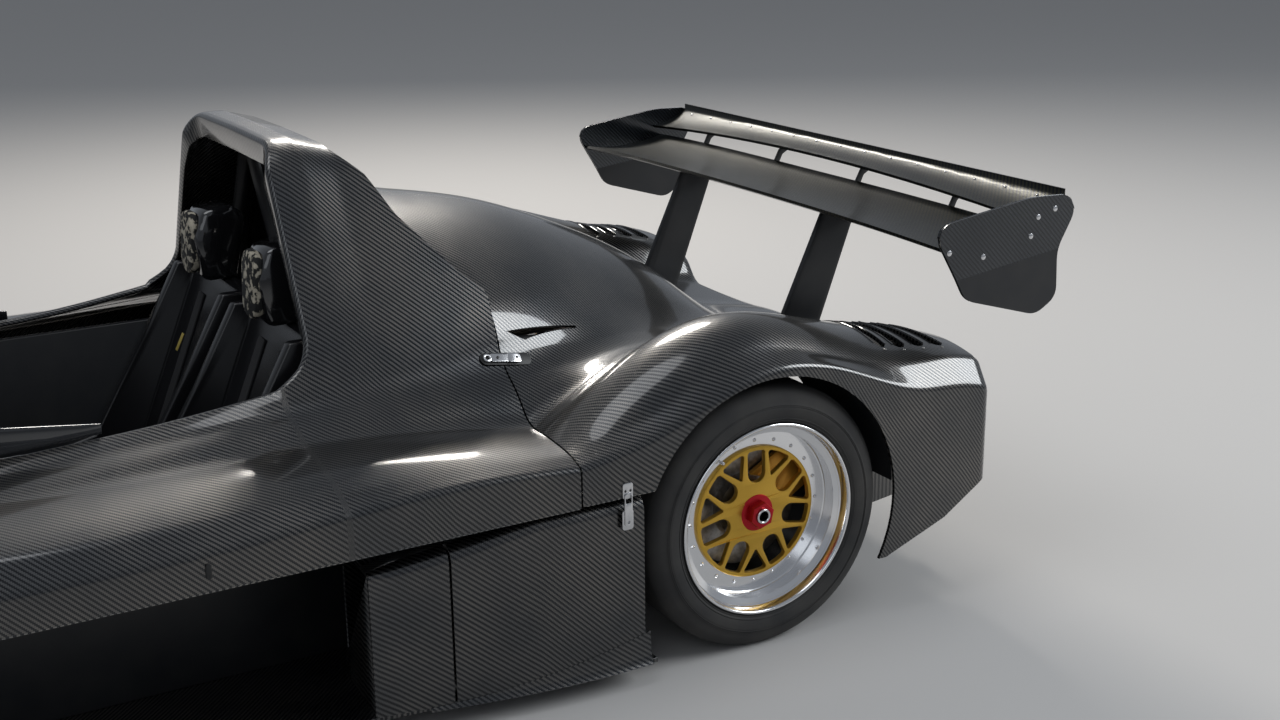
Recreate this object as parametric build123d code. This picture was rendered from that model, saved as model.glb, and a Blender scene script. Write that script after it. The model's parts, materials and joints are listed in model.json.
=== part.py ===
from build123d import *
from collections import namedtuple
from math import hypot
import os

# Open two-seat sports prototype race car. Millimetres, nose towards -Y, its left side at +X,
# ground at Z = 0 and the origin on the ground at the middle of the car.

# Overall places
HALF_LENGTH = 2070
SIDE_X = 885
FRONT_AXLE_Y = -1170
REAR_AXLE_Y = 1200
SKIN = 8
GAP = 6
FLOOR_Z = 45
FLOOR_THICK = 10
SKIRT_Z = 436

# Seams between the three body mouldings
NOSE_SEAM_Y = -620
TAIL_SEAM_Y = 730

# Cockpit
OPENING_HALF = 480
OPENING_FRONT_Y = -500
OPENING_BACK_Y = 600
HOOP_Y = 315
TUB_HALF = 468
TUB_WALL = 20
TUB_TOP_Z = 590
TUB_BACK_Y = 500
TUB_FLOOR_Z = FLOOR_Z + FLOOR_THICK + TUB_WALL
BULKHEAD_Y = -1000
SEAT_X = TUB_HALF / 2 + 1
SEAT_HALF = 205
HOOP_LEG_X = TUB_HALF - 68

# Wheels: one row for each axle
Axle = namedtuple("Axle", "end y face_x tyre_r tyre_w lip_r centre_x kingpin_x caliper_deg")
FRONT = Axle("front", FRONT_AXLE_Y, 860, 290, 200, 208, 790, 690, 60)
REAR = Axle("rear", REAR_AXLE_Y, 870, 302.5, 260, 220.5, 800, 680, -60)
ARCH_CLEARANCE = 27
SPOKES = 7
CENTRE_THICK = 16
CENTRE_INSIDE_LIP = 70
DISC_R = 140
DISC_THICK = 20
DISC_FROM_CENTRE = 62
CALIPER_GAP = 5
CALIPER_WALL = 12
BEARING_FROM_CENTRE = 86
RUNNING_GAP = 0.5
KNUCKLE_HALF_HEIGHT = 95
KNUCKLE_HALF_WIDTH = 13
BOSS_R = 18
BOSS_HEIGHT = 28
ARM_R = 11
BRACKET = 25

# Steering
RACK_Y = FRONT_AXLE_Y + 100
RACK_Z = 240
RACK_R = 10
HOUSING_R = 24
HOUSING_HALF = 198
STEER_ARM = 100
STEER_EYE_R = 19
STEER_EYE_HEIGHT = 20
STEER_PIN_R = 5
WHEEL_CENTRE = (SEAT_X, -300, 520)
COLUMN_FOOT = (SEAT_X, -979.5, 340)

# Tail hinge of the rear moulding
HINGE_Y = 1800
HINGE_Z = 300
HINGE_X = 560
HINGE_R = 12
PIN_GAP = 0.5

# Wing
WING_HALF = 840
PLATE_THICK = 8
POST_X = 335
POST_THICK = 14

# Cross-sections of the body, each half from its crown down to its side
Station = namedtuple(
    "Station",
    "y side crown base_x base_z valley_x valley_z inner_x inner_z crest_z crease_z flank_z",
)
NOSE_STATIONS = [
    Station(-2045, 760, 170, 260, 160, 430, 152, 520, 158, 178, 165, 140),
    Station(-1930, 850, 262, 260, 235, 450, 222, 570, 250, 310, 285, 235),
    Station(-1700, 880, 345, 250, 305, 470, 285, 600, 400, 475, 440, 380),
    Station(-1430, 885, 405, 255, 365, 490, 345, 610, 550, 610, 570, 520),
    Station(-1170, 885, 470, 270, 432, 500, 415, 615, 610, 672, 640, 615),
    Station(-880, 885, 545, 350, 505, 530, 482, 625, 590, 640, 605, 555),
    Station(-617, 885, 610, 468, 590, 590, 566, 640, 572, 592, 572, 512),
]
MIDDLE_STATIONS = [
    Station(-623, 885, 612, 470, 592, 590, 566, 640, 572, 592, 572, 512),
    Station(-250, 885, 640, 497, 628, 590, 600, 640, 585, 578, 556, 509),
    Station(0, 885, 655, 505, 645, 590, 612, 645, 588, 576, 552, 511),
    Station(315, 885, 698, 525, 690, 600, 622, 650, 590, 577, 552, 531),
    Station(520, 885, 724, 525, 715, 600, 615, 652, 570, 566, 548, 535),
    Station(733, 885, 748, 500, 738, 590, 612, 655, 543, 543, 535, 520),
]
TAIL_STATIONS = [
    Station(727, 885, 938, 500, 738, 590, 612, 655, 543, 543, 535, 520),
    Station(920, 885, 898, 452, 705, 570, 625, 630, 622, 655, 592, 560),
    Station(1145, 885, 812, 368, 650, 520, 628, 620, 694, 733, 683, 640),
    Station(1370, 885, 688, 290, 585, 480, 575, 600, 660, 696, 640, 628),
    Station(1600, 885, 523, 200, 500, 455, 505, 530, 612, 622, 590, 540),
    Station(1740, 885, 491, 174, 479, 455, 487, 517, 584, 600, 584, 525),
    Station(1870, 885, 470, 150, 462, 452, 468, 505, 536, 560, 547, 480),
]
CREST_FROM_SIDE = 135
CREASE_FROM_SIDE = 45


def mirrored(shape):
    """The same piece on the car's other side."""
    return mirror(shape, Plane.YZ)


def both_sides(shape):
    return Compound(children=[shape, mirrored(shape)])


def block(x0, x1, y0, y1, z0, z1):
    """A box between two corners."""
    centre = ((x0 + x1) / 2, (y0 + y1) / 2, (z0 + z1) / 2)
    return Pos(*centre) * Box(x1 - x0, y1 - y0, z1 - z0)


def rod(start, end, radius):
    """A round bar between two points."""
    start, end = Vector(*start), Vector(*end)
    along = end - start
    plane = Plane(origin=start, z_dir=along)
    return extrude(plane * Circle(radius), along.length)


def side_prism(points, x0, x1):
    """A side-view outline of (y, z) points, extruded across the car from x0 to x1."""
    outline = make_face(Polyline(*[(x0, y, z) for y, z in points], close=True))
    return extrude(outline, x1 - x0, dir=(1, 0, 0))


def front_prism(points, y0, y1, radius=0):
    """A front-view outline of (x, z) points, extruded along the car, its corners rounded."""
    outline = make_face(Polyline(*[(x, y0, z) for x, z in points], close=True))
    solid = extrude(outline, y1 - y0, dir=(0, 1, 0))
    if radius:
        solid = fillet(solid.edges().filter_by(Axis.Y), radius)
    return solid


def across(radius, x0, x1, y, z):
    """A cylinder lying across the car."""
    return extrude(Plane(origin=(x0, y, z), z_dir=(1, 0, 0)) * Circle(radius), x1 - x0)


def inset_path(points, wall):
    """The points of a line moved inwards by a wall, with mitred corners."""
    moved = []
    for i, (x, z) in enumerate(points):
        normals = []
        for a, b in ((i - 1, i), (i, i + 1)):
            if a >= 0 and b < len(points):
                dx, dz = points[b][0] - points[a][0], points[b][1] - points[a][1]
                size = hypot(dx, dz)
                normals.append((dz / size, -dx / size))
        nx = sum(n[0] for n in normals)
        nz = sum(n[1] for n in normals)
        scale = wall * len(normals) / (nx * nx + nz * nz)
        moved.append((x + nx * scale, z + nz * scale))
    return moved


def body_section(station, foot_z, wall=0.0):
    """One closed cross-section: crown arc, hollow flank, fender arc, crease, side and foot."""
    s = station
    drop = abs(s.base_z - s.valley_z)
    sag = 0.15 * drop + 3
    hollow = ((s.base_x + s.valley_x) / 2 - 0.6 * sag, (s.base_z + s.valley_z) / 2 - 0.8 * sag)
    half = [
        (0, s.crown),
        (s.base_x, s.base_z),
        hollow,
        (s.valley_x, s.valley_z),
        (s.inner_x, s.inner_z),
        (s.side - CREST_FROM_SIDE, s.crest_z),
        (s.side - CREASE_FROM_SIDE, s.crease_z),
        (s.side, s.flank_z),
        (s.side, foot_z),
    ]
    if wall:
        half = inset_path(half, wall)
        half[0] = (0, s.crown - wall)
        half[-1] = (s.side - wall, foot_z - 30)
    right = [Vector(x, s.y, z) for x, z in half]
    left = [Vector(-x, s.y, z) for x, z in half]
    edges = [
        Line(left[8], left[7]),
        Line(left[7], left[6]),
        ThreePointArc(left[6], left[5], left[4]),
        Line(left[4], left[3]),
        ThreePointArc(left[3], left[2], left[1]),
        ThreePointArc(left[1], left[0], right[1]),
        ThreePointArc(right[1], right[2], right[3]),
        Line(right[3], right[4]),
        ThreePointArc(right[4], right[5], right[6]),
        Line(right[6], right[7]),
        Line(right[7], right[8]),
        Line(right[8], left[8]),
    ]
    return Face(Wire(edges))


def body_solid(stations, foot_z, wall=0.0):
    """The body between its first and last stations, or its hollow when a wall is given."""
    return loft([body_section(s, foot_z, wall) for s in stations])


def arch_cut(axle, depth):
    """The round wheel opening through the side skin."""
    return across(axle.tyre_r + ARCH_CLEARANCE, SIDE_X - depth, SIDE_X + 20, axle.y, axle.tyre_r)


# Nose moulding with its two fenders, lamp openings and duct mouth
NOSE_FOOT_Z = FLOOR_Z + FLOOR_THICK
LAMP_Y = -1690
LAMP_X = 735
nose_outer = body_solid(NOSE_STATIONS, NOSE_FOOT_Z)
nose_hollow = body_solid(NOSE_STATIONS, NOSE_FOOT_Z, SKIN)
nose_hollow &= block(-1000, 1000, NOSE_STATIONS[0].y + SKIN, 0, 0, 1000)
nose_skin = nose_outer - nose_hollow
nose_skin &= block(-1000, 1000, -2100, NOSE_SEAM_Y, 0, 1000)


def lamp_window(margin):
    outline = Pos(LAMP_X, LAMP_Y, 300) * Rot(0, 0, -8) * Ellipse(75 - margin, 120 - margin)
    return extrude(outline, 400)


nose_lenses = both_sides(nose_skin & lamp_window(0.3))
nose = nose_skin - both_sides(lamp_window(0))
nose -= both_sides(arch_cut(FRONT, 25))
nose -= both_sides(block(SIDE_X - 25, SIDE_X + 10, FRONT_AXLE_Y + 200, 0, 0, SKIRT_Z))
nose -= front_prism([(-260, 75), (260, 75), (240, 135), (-240, 135)], -2100, -2030, 12)

# Middle moulding round the cockpit
middle_outer = body_solid(MIDDLE_STATIONS, SKIRT_Z)
middle_hollow = body_solid(MIDDLE_STATIONS, SKIRT_Z, SKIN)
opening = extrude(
    Pos(0, (OPENING_FRONT_Y + OPENING_BACK_Y) / 2, 100)
    * RectangleRounded(2 * OPENING_HALF, OPENING_BACK_Y - OPENING_FRONT_Y, 110),
    900,
)
middle = middle_outer - middle_hollow - opening
middle &= block(-1000, 1000, NOSE_SEAM_Y, TAIL_SEAM_Y - GAP / 2, 0, 1000)

# Hoop cowl: a sloping arch over both seats, open to the front and rear
COWL_FOOT = (560, 650)
COWL_SHOULDER = (296, 1128)
COWL_LIP = 36
COWL_LIP_DEPTH = 22


def cowl_outline(inset):
    """Front view of the arch as four (x, z) corners, drawn in by an inset."""
    foot_x, foot_z = COWL_FOOT
    top_x, top_z = COWL_SHOULDER
    lean = (foot_x - top_x) / (top_z - foot_z)
    side = inset * hypot(1, lean)
    top = top_z - inset
    half_top = top_x + lean * inset - side
    return [(-(foot_x - side), foot_z), (foot_x - side, foot_z), (half_top, top), (-half_top, top)]


COWL_SIDE = [
    (HOOP_Y, 640),
    (HOOP_Y, 1050),
    (HOOP_Y + 14, 1105),
    (HOOP_Y + 60, 1130),
    (455, 1112),
    (517, 1045),
    (562, 951),
    (630, 858),
    (672, 800),
    (TAIL_SEAM_Y - GAP / 2, 748),
    (TAIL_SEAM_Y - GAP / 2, 640),
]


def arch_prism(inset, y0, y1, corner):
    points = cowl_outline(inset)
    outline = make_face(Polyline(*[(x, y0, z) for x, z in points], close=True))
    solid = extrude(outline, y1 - y0, dir=(0, 1, 0))
    top = solid.edges().filter_by(Axis.Y).sort_by(Axis.Z)[-2:]
    return fillet(top, corner)


cowl_under = [(HOOP_Y + COWL_LIP_DEPTH, 600)]
cowl_under += [(max(y, HOOP_Y + COWL_LIP_DEPTH), z - SKIN) for y, z in COWL_SIDE[2:5]]
cowl_under += [(900, COWL_SIDE[4][1] - SKIN), (900, 600)]
cowl = arch_prism(0, HOOP_Y, TAIL_SEAM_Y, 75) & side_prism(COWL_SIDE, -700, 700)
cowl -= arch_prism(SKIN, HOOP_Y, 900, 68) & side_prism(cowl_under, -700, 700)
cowl -= arch_prism(COWL_LIP, HOOP_Y - 10, HOOP_Y + COWL_LIP_DEPTH + 10, 50)
cowl -= middle_outer

# Tail moulding: engine hump, rear fenders and wheel openings
tail_outer = body_solid(TAIL_STATIONS, 150)
tail_hollow = body_solid(TAIL_STATIONS, 150, SKIN)
TAIL_END_Y = 1862
TAIL_BOW_R = 6900
REAR_MOUTH_Z = 440
tail_end = Pos(0, TAIL_END_Y - TAIL_BOW_R, 0) * Cylinder(TAIL_BOW_R, 4000)
tail_end_inner = Pos(0, TAIL_END_Y - TAIL_BOW_R, 0) * Cylinder(TAIL_BOW_R - SKIN, 4000)
tail = (tail_outer & tail_end) - (tail_hollow & tail_end_inner)
tail &= block(-1000, 1000, TAIL_SEAM_Y + GAP / 2, 2000, 0, 1100)
tail -= both_sides(arch_cut(REAR, 25))
tail -= block(-1000, 1000, 700, REAR_AXLE_Y - 150, 0, SKIRT_Z + GAP / 2)
tail -= block(-HINGE_X, HINGE_X, 1700, 1900, 0, REAR_MOUTH_Z)
TAIL_FOOT = [(1400, 100), (1510, 150), (1680, 213), (1783, 279), (1900, 330), (1900, 100)]
tail -= side_prism(TAIL_FOOT, -1000, 1000)

# Louvres: slots across the top of each rear fender, behind the wheel
LOUVRE_X = 675
LOUVRE_FIRST_Y = 1560
LOUVRE_PITCH = 56
LOUVRE_COUNT = 4
LOUVRE_LONG = 220
LOUVRE_WIDE = 30
LOUVRE_CORNER = 12
for i in range(LOUVRE_COUNT):
    louvre = RectangleRounded(LOUVRE_LONG, LOUVRE_WIDE, LOUVRE_CORNER)
    louvre_cut = extrude(Pos(LOUVRE_X, LOUVRE_FIRST_Y + i * LOUVRE_PITCH, 500) * louvre, 300)
    tail -= both_sides(louvre_cut)

# Duct mouths: a long triangle each side, where the hump's flank meets the deck
DUCT_MOUTH = [(500, 752), (510, 800), (465, 948), (456, 948)]
duct_cut = extrude(Pos(0, 0, 600) * make_face(Polyline(*DUCT_MOUTH, close=True)), 200)
tail -= both_sides(duct_cut)

# Front tongue of the hump, rising forwards under the arch
TONGUE_FRONT_Y = 545
TONGUE_BACK_Y = TAIL_SEAM_Y + 12
TONGUE_SLOPE = 0.2
TONGUE_UNDER = 5
TONGUE_LOW_Z = 775


def tongue_face(y, inset, low_z):
    """The hump's crown arc at y, drawn in by an inset and closed across at low_z."""
    hump = TAIL_STATIONS[0]
    crown = hump.crown + TONGUE_SLOPE * (hump.y - y)
    rise = crown - hump.base_z
    radius = (hump.base_x**2 + rise**2) / (2 * rise)
    centre_z = crown - radius
    radius -= inset
    half = (radius**2 - (low_z - centre_z) ** 2) ** 0.5
    left, right = Vector(-half, y, low_z), Vector(half, y, low_z)
    return Face(Wire([ThreePointArc(left, Vector(0, y, centre_z + radius), right), Line(right, left)]))


def tongue_solid(inset, low_z):
    return loft([tongue_face(y, inset, low_z) for y in (TONGUE_FRONT_Y, TONGUE_BACK_Y)])


tail += tongue_solid(TONGUE_UNDER, TONGUE_LOW_Z) - tongue_solid(TONGUE_UNDER + SKIN, TONGUE_LOW_Z - 20)

# Hinge ears on the tail, round the cross tube of the tail frame
EAR_R = 30
ear = across(EAR_R, HINGE_X, HINGE_X + 14, HINGE_Y, HINGE_Z)
ear += block(HINGE_X, HINGE_X + 14, HINGE_Y, 1840, HINGE_Z + 5, HINGE_Z + 60)
ear &= tail_end
tail += both_sides(ear)
tail -= both_sides(across(HINGE_R + PIN_GAP, HINGE_X - 5, HINGE_X + 20, HINGE_Y, HINGE_Z))

# Round tail lamps on the ends of the rear fenders
LAMP_R = 30
LAMP_PROUD = 12
lamp_shell = Pos(0, TAIL_END_Y - TAIL_BOW_R, 0) * Cylinder(TAIL_BOW_R + LAMP_PROUD, 4000) - tail_end
tail_lamps = []
for x in (650, 730):
    barrel = Pos(x, TAIL_END_Y, 400) * Rot(90, 0, 0) * Cylinder(LAMP_R, 160)
    tail_lamps.append(barrel & lamp_shell)
tail_lamps = Compound(children=tail_lamps + [mirrored(lamp) for lamp in tail_lamps])

# Latches: one each side on the deck and one each side on the skirt, both fixed to the tail
LATCH_THICK = 6
LATCH_LIFT = 2
LATCH_X = 530
LATCH_AHEAD = 35
LATCH_LONG = 75
LATCH_HALF = 15
FOOT_START_Y = 745
FOOT_LONG = 20
FOOT_HALF = 10
latch_outer = LATCH_LIFT + LATCH_THICK
seam_station = TAIL_STATIONS[0]
latch_band = body_section(seam_station, SKIRT_Z, -latch_outer)
latch_band -= body_section(seam_station, SKIRT_Z, -LATCH_LIFT)
deck_latch = Pos(0, -LATCH_AHEAD, 0) * extrude(latch_band, LATCH_LONG, dir=(0, 1, 0))
deck_latch &= block(LATCH_X - LATCH_HALF, LATCH_X + LATCH_HALF, 600, 800, 600, 800)
foot_face = body_section(seam_station, SKIRT_Z, -(LATCH_LIFT + LATCH_THICK / 2))
latch_foot = Pos(0, FOOT_START_Y - seam_station.y, 0) * extrude(foot_face, FOOT_LONG, dir=(0, 1, 0))
deck_latch += latch_foot & block(LATCH_X - FOOT_HALF, LATCH_X + FOOT_HALF, 600, 800, 600, 800)
deck_latch -= tail_outer
deck_latch -= middle_outer
side_latch = block(SIDE_X, SIDE_X + LATCH_THICK, 815, 845, 365, 485)
latches = Compound(children=[deck_latch, mirrored(deck_latch), side_latch, mirrored(side_latch)])

# Floor, sills, splitter and diffuser
FLOOR_FRONT_Y = -1480
FLOOR_BACK_Y = 1000
FLOOR_NARROW = 545
FLOOR_WIDE = 800
SILL_FRONT_Y = -800
SILL_BACK_Y = 905
floor_outline = make_face(
    Polyline(
        (-FLOOR_NARROW, FLOOR_FRONT_Y),
        (FLOOR_NARROW, FLOOR_FRONT_Y),
        (FLOOR_NARROW, SILL_FRONT_Y - 40),
        (FLOOR_WIDE, SILL_FRONT_Y),
        (FLOOR_WIDE + 12, 300),
        (SIDE_X - 5, SILL_BACK_Y),
        (FLOOR_NARROW, SILL_BACK_Y),
        (FLOOR_NARROW, FLOOR_BACK_Y),
        (-FLOOR_NARROW, FLOOR_BACK_Y),
        (-FLOOR_NARROW, SILL_BACK_Y),
        (-SIDE_X + 5, SILL_BACK_Y),
        (-FLOOR_WIDE - 12, 300),
        (-FLOOR_WIDE, SILL_FRONT_Y),
        (-FLOOR_NARROW, SILL_FRONT_Y - 40),
        close=True,
    )
)
floor_pan = Pos(0, 0, FLOOR_Z) * extrude(floor_outline, FLOOR_THICK)

splitter_outline = make_face(
    [
        Line((-FLOOR_NARROW, FLOOR_FRONT_Y), (FLOOR_NARROW, FLOOR_FRONT_Y)),
        Line((FLOOR_NARROW, FLOOR_FRONT_Y), (870, FLOOR_FRONT_Y - 40)),
        Line((870, FLOOR_FRONT_Y - 40), (860, -1960)),
        ThreePointArc((860, -1960), (0, -HALF_LENGTH), (-860, -1960)),
        Line((-860, -1960), (-870, FLOOR_FRONT_Y - 40)),
        Line((-870, FLOOR_FRONT_Y - 40), (-FLOOR_NARROW, FLOOR_FRONT_Y)),
    ]
)
splitter = Pos(0, 0, FLOOR_Z) * extrude(splitter_outline, FLOOR_THICK)

DIFFUSER_END_Y = 1850
DIFFUSER_RISE = 175
diffuser = side_prism(
    [
        (FLOOR_BACK_Y, FLOOR_Z),
        (DIFFUSER_END_Y, FLOOR_Z + DIFFUSER_RISE),
        (DIFFUSER_END_Y, FLOOR_Z + DIFFUSER_RISE + FLOOR_THICK),
        (FLOOR_BACK_Y, FLOOR_Z + FLOOR_THICK),
    ],
    -FLOOR_NARROW,
    FLOOR_NARROW,
)
STRAKE_THICK = 5
STRAKE_OUTLINE = [
    (FLOOR_BACK_Y + 150, 60),
    (FLOOR_BACK_Y + 200, 50),
    (DIFFUSER_END_Y - 10, 130),
    (DIFFUSER_END_Y - 10, 220),
    (FLOOR_BACK_Y + 150, 80),
]
for x in (270, 540):
    diffuser += both_sides(side_prism(STRAKE_OUTLINE, x - STRAKE_THICK, x))

# Side pods under the middle moulding
POD_FRONT_Y = 294
POD_BACK_Y = 880
POD_INNER_X = TUB_HALF + 30
POD_DUCT_X = POD_INNER_X + 42
POD_TOP_Z = SKIRT_Z - 8
pod_outline = make_face(
    Polyline(
        (POD_INNER_X, POD_FRONT_Y + 60),
        (POD_DUCT_X + 60, POD_FRONT_Y + 15),
        (SIDE_X - 70, POD_FRONT_Y),
        (SIDE_X - 43, 458),
        (SIDE_X - 13, 700),
        (SIDE_X - 13, POD_BACK_Y),
        (POD_DUCT_X + 20, POD_BACK_Y),
        (POD_INNER_X, 800),
        close=True,
    )
)
pod_foot_z = FLOOR_Z + FLOOR_THICK
pod = Pos(0, 0, pod_foot_z) * extrude(pod_outline, POD_TOP_Z - pod_foot_z)
POD_NOSE_Z = 366
pod -= side_prism([(200, POD_NOSE_Z), (POD_FRONT_Y, POD_NOSE_Z), (640, POD_TOP_Z), (200, POD_TOP_Z)], 0, 1000)
pod -= block(POD_DUCT_X, SIDE_X - 85, POD_FRONT_Y - 20, POD_BACK_Y - 20, 80, 350)
pods = both_sides(pod)

# Chassis tub: open box with a footwell and a square crash box ahead of it
tub_side = [
    (BULKHEAD_Y, FLOOR_Z + FLOOR_THICK),
    (TUB_BACK_Y, FLOOR_Z + FLOOR_THICK),
    (TUB_BACK_Y, TUB_TOP_Z),
    (-450, TUB_TOP_Z),
    (BULKHEAD_Y, 400),
]
tub = side_prism(tub_side, -TUB_HALF - TUB_WALL, TUB_HALF + TUB_WALL)
tub -= block(-TUB_HALF, TUB_HALF, BULKHEAD_Y + TUB_WALL, TUB_BACK_Y - TUB_WALL, TUB_FLOOR_Z, 900)
crash = side_prism([(-1720, 120), (BULKHEAD_Y, 100), (BULKHEAD_Y, 370), (-1720, 250)], -200, 200)
tub += crash

# Panel behind the seats, inside the arch
back_panel = arch_prism(SKIN + 1, 0, 8, 60)
back_panel = Pos(0, TUB_BACK_Y + 5, 0) * back_panel
back_panel &= block(-700, 700, 400, 600, 0, 1075)
back_panel -= middle_outer

# Engine and gearbox as plain blocks
engine = block(-210, 210, TUB_BACK_Y + 20, 930, 100, 590)
engine = chamfer(engine.edges().filter_by(Axis.Y), 40)
gearbox = block(-110, 110, 930.3, 1500, 175, 360)
gearbox = chamfer(gearbox.edges().filter_by(Axis.Y), 30)
gearbox += block(-170, 170, 1080, 1330, 180, 400)
gearbox += rod((-640, REAR_AXLE_Y, REAR.tyre_r), (640, REAR_AXLE_Y, REAR.tyre_r), 15)
FRAME_LEG_X = 90
tail_frame = across(HINGE_R, -HINGE_X - 18, HINGE_X + 18, HINGE_Y, HINGE_Z)
for x in (-FRAME_LEG_X, FRAME_LEG_X):
    tail_frame += rod((x, 1503, 250), (x, HINGE_Y, HINGE_Z), 14)
    tail_frame += block(x - 14, x + 14, 1500.3, 1506, 236, 264)

# Exhaust from the engine's right side to the tail
EXHAUST_X = -260
PIPE_R = 25
PIPE_Z = 480
PORT_Y = 860
MUFFLER_Y = 1430
MUFFLER_R = 62
TAIL_PIPE_Y = 1690
TAIL_PIPE_R = 32
TAIL_PIPE_Z = 378
TAIL_PIPE_LENGTH = 80
bend_y = MUFFLER_Y - 40
exhaust = rod((-210.3, PORT_Y, PIPE_Z), (EXHAUST_X, PORT_Y, PIPE_Z), PIPE_R)
exhaust += rod((EXHAUST_X, PORT_Y, PIPE_Z), (EXHAUST_X, bend_y, PIPE_Z), PIPE_R)
exhaust += rod((EXHAUST_X, bend_y, PIPE_Z), (EXHAUST_X, MUFFLER_Y + 20, TAIL_PIPE_Z + 20), PIPE_R)
for y in (PORT_Y, bend_y):
    exhaust += Pos(EXHAUST_X, y, PIPE_Z) * Sphere(PIPE_R)
muffler_ends = (EXHAUST_X, MUFFLER_Y, TAIL_PIPE_Z), (EXHAUST_X, TAIL_PIPE_Y, TAIL_PIPE_Z)
pipe_end = (EXHAUST_X, TAIL_PIPE_Y + TAIL_PIPE_LENGTH, TAIL_PIPE_Z)
exhaust += rod(*muffler_ends, MUFFLER_R)
exhaust += rod(muffler_ends[1], pipe_end, TAIL_PIPE_R)
exhaust -= rod((EXHAUST_X, TAIL_PIPE_Y - 40, TAIL_PIPE_Z), pipe_end, TAIL_PIPE_R - 3)

# Seats: a leaning shell with bolsters, one for each side
SEAT_WALL = 30
seat_hollow = [
    (-400, 130),
    (-330, 150),
    (-40, 105),
    (95, 135),
    (320, 680),
    (360, 800),
    (200, 800),
    (60, 420),
    (-100, 330),
    (-400, 330),
]
seat_outer = [
    (-350, 120),
    (-130, TUB_FLOOR_Z),
    (150, TUB_FLOOR_Z),
    (400, 600),
    (375, 740),
    (290, 740),
    (190, 560),
    (50, 330),
    (-350, 240),
]
seat = side_prism(seat_outer, -SEAT_HALF, SEAT_HALF)
seat -= side_prism(seat_hollow, -SEAT_HALF + SEAT_WALL, SEAT_HALF - SEAT_WALL)
seats = Compound(children=[Pos(SEAT_X, 0, 0) * seat, Pos(-SEAT_X, 0, 0) * seat])

# Headrests on the panel behind the seats
HEADREST_HALF = 85
headrest_side = [(292, 740), (372, 740), (395, 900), (360, 930), (290, 920), (272, 850)]
headrest = side_prism(headrest_side, -HEADREST_HALF, HEADREST_HALF)
headrests = Compound(children=[Pos(SEAT_X, 0, 0) * headrest, Pos(-SEAT_X, 0, 0) * headrest])

# Shoulder belts over each seat
BELT_LIFT = 0.3
BELT_THICK = 5
back_foot, back_top = Vector(0, 95, 135), Vector(0, 320, 680)
back_dir = (back_top - back_foot).normalized()
back_out = Vector(0, -back_dir.Z, back_dir.Y)
belt_low = back_foot + back_dir * 100 + back_out * BELT_LIFT
belt_high = back_top + back_out * BELT_LIFT
belt_edge = [belt_low, belt_high, belt_high + back_out * BELT_THICK, belt_low + back_out * BELT_THICK]
BELT_HALF_WIDTH = 20
BELT_FROM_MIDDLE = 70
belt = side_prism([(p.Y, p.Z) for p in belt_edge], -BELT_HALF_WIDTH, BELT_HALF_WIDTH)
belts = [Pos(s * SEAT_X + d, 0, 0) * belt for s in (-1, 1) for d in (-BELT_FROM_MIDDLE, BELT_FROM_MIDDLE)]
harness = Compound(children=belts)

# Roll hoop inside the arch, with its diagonal brace
HOOP_TUBE_R = 22
HOOP_TUBE_Y = 445
HOOP_BENDS = [
    (-HOOP_LEG_X, HOOP_TUBE_Y, 780),
    (-240, HOOP_TUBE_Y, 1060),
    (240, HOOP_TUBE_Y, 1060),
    (HOOP_LEG_X, HOOP_TUBE_Y, 780),
]
hoop_feet = [(x, HOOP_TUBE_Y, TUB_FLOOR_Z) for x in (-HOOP_LEG_X, HOOP_LEG_X)]
hoop_path = [hoop_feet[0], *HOOP_BENDS, hoop_feet[1]]
hoop = rod(hoop_path[0], hoop_path[1], HOOP_TUBE_R)
for start, end in zip(hoop_path[1:], hoop_path[2:]):
    hoop += rod(start, end, HOOP_TUBE_R)
    hoop += Pos(*start) * Sphere(HOOP_TUBE_R)
hoop += rod(HOOP_BENDS[1], (60, HOOP_TUBE_Y, 640), HOOP_TUBE_R - 4)

# Dashboard, steering column, rack housing and the moving steering pieces
dashboard_side = [(-500, 480), (-440, 470), (-430, 560), (-470, 595), (-520, 590)]
dashboard = side_prism(dashboard_side, -TUB_HALF, TUB_HALF)
column_line = Vector(*WHEEL_CENTRE) - Vector(*COLUMN_FOOT)
column_dir = column_line.normalized()
column_top = Vector(*WHEEL_CENTRE) - column_dir * 100
column = rod(COLUMN_FOOT, column_top, 20) & block(0, 500, COLUMN_FOOT[1], 0, 0, 900)
dashboard -= rod(COLUMN_FOOT, WHEEL_CENTRE, 22)
rack_housing = across(HOUSING_R, -HOUSING_HALF, HOUSING_HALF, RACK_Y, RACK_Z)
rack_housing -= across(RACK_R + RUNNING_GAP, -HOUSING_HALF, HOUSING_HALF, RACK_Y, RACK_Z)
steering_column = Compound(children=[column, rack_housing])

GRIP_R = 13
WHEEL_R = 125
wheel_plane = Plane(origin=WHEEL_CENTRE, x_dir=(1, 0, 0), z_dir=column_dir)
grip_ring = revolve(Plane.XZ * Pos(WHEEL_R, 0) * RegularPolygon(GRIP_R, 8), Axis.Z)
steering_wheel = Pos(0, 0, -10) * Cylinder(38, 28)
steering_wheel += Pos(0, 0, -60) * Cylinder(12, 79)
steering_wheel += grip_ring
for turn in (0, 90, 180):
    steering_wheel += Rot(0, 0, turn) * (Pos(70, 0, 0) * Box(110, 26, 8))
steering_wheel = wheel_plane * steering_wheel

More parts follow.
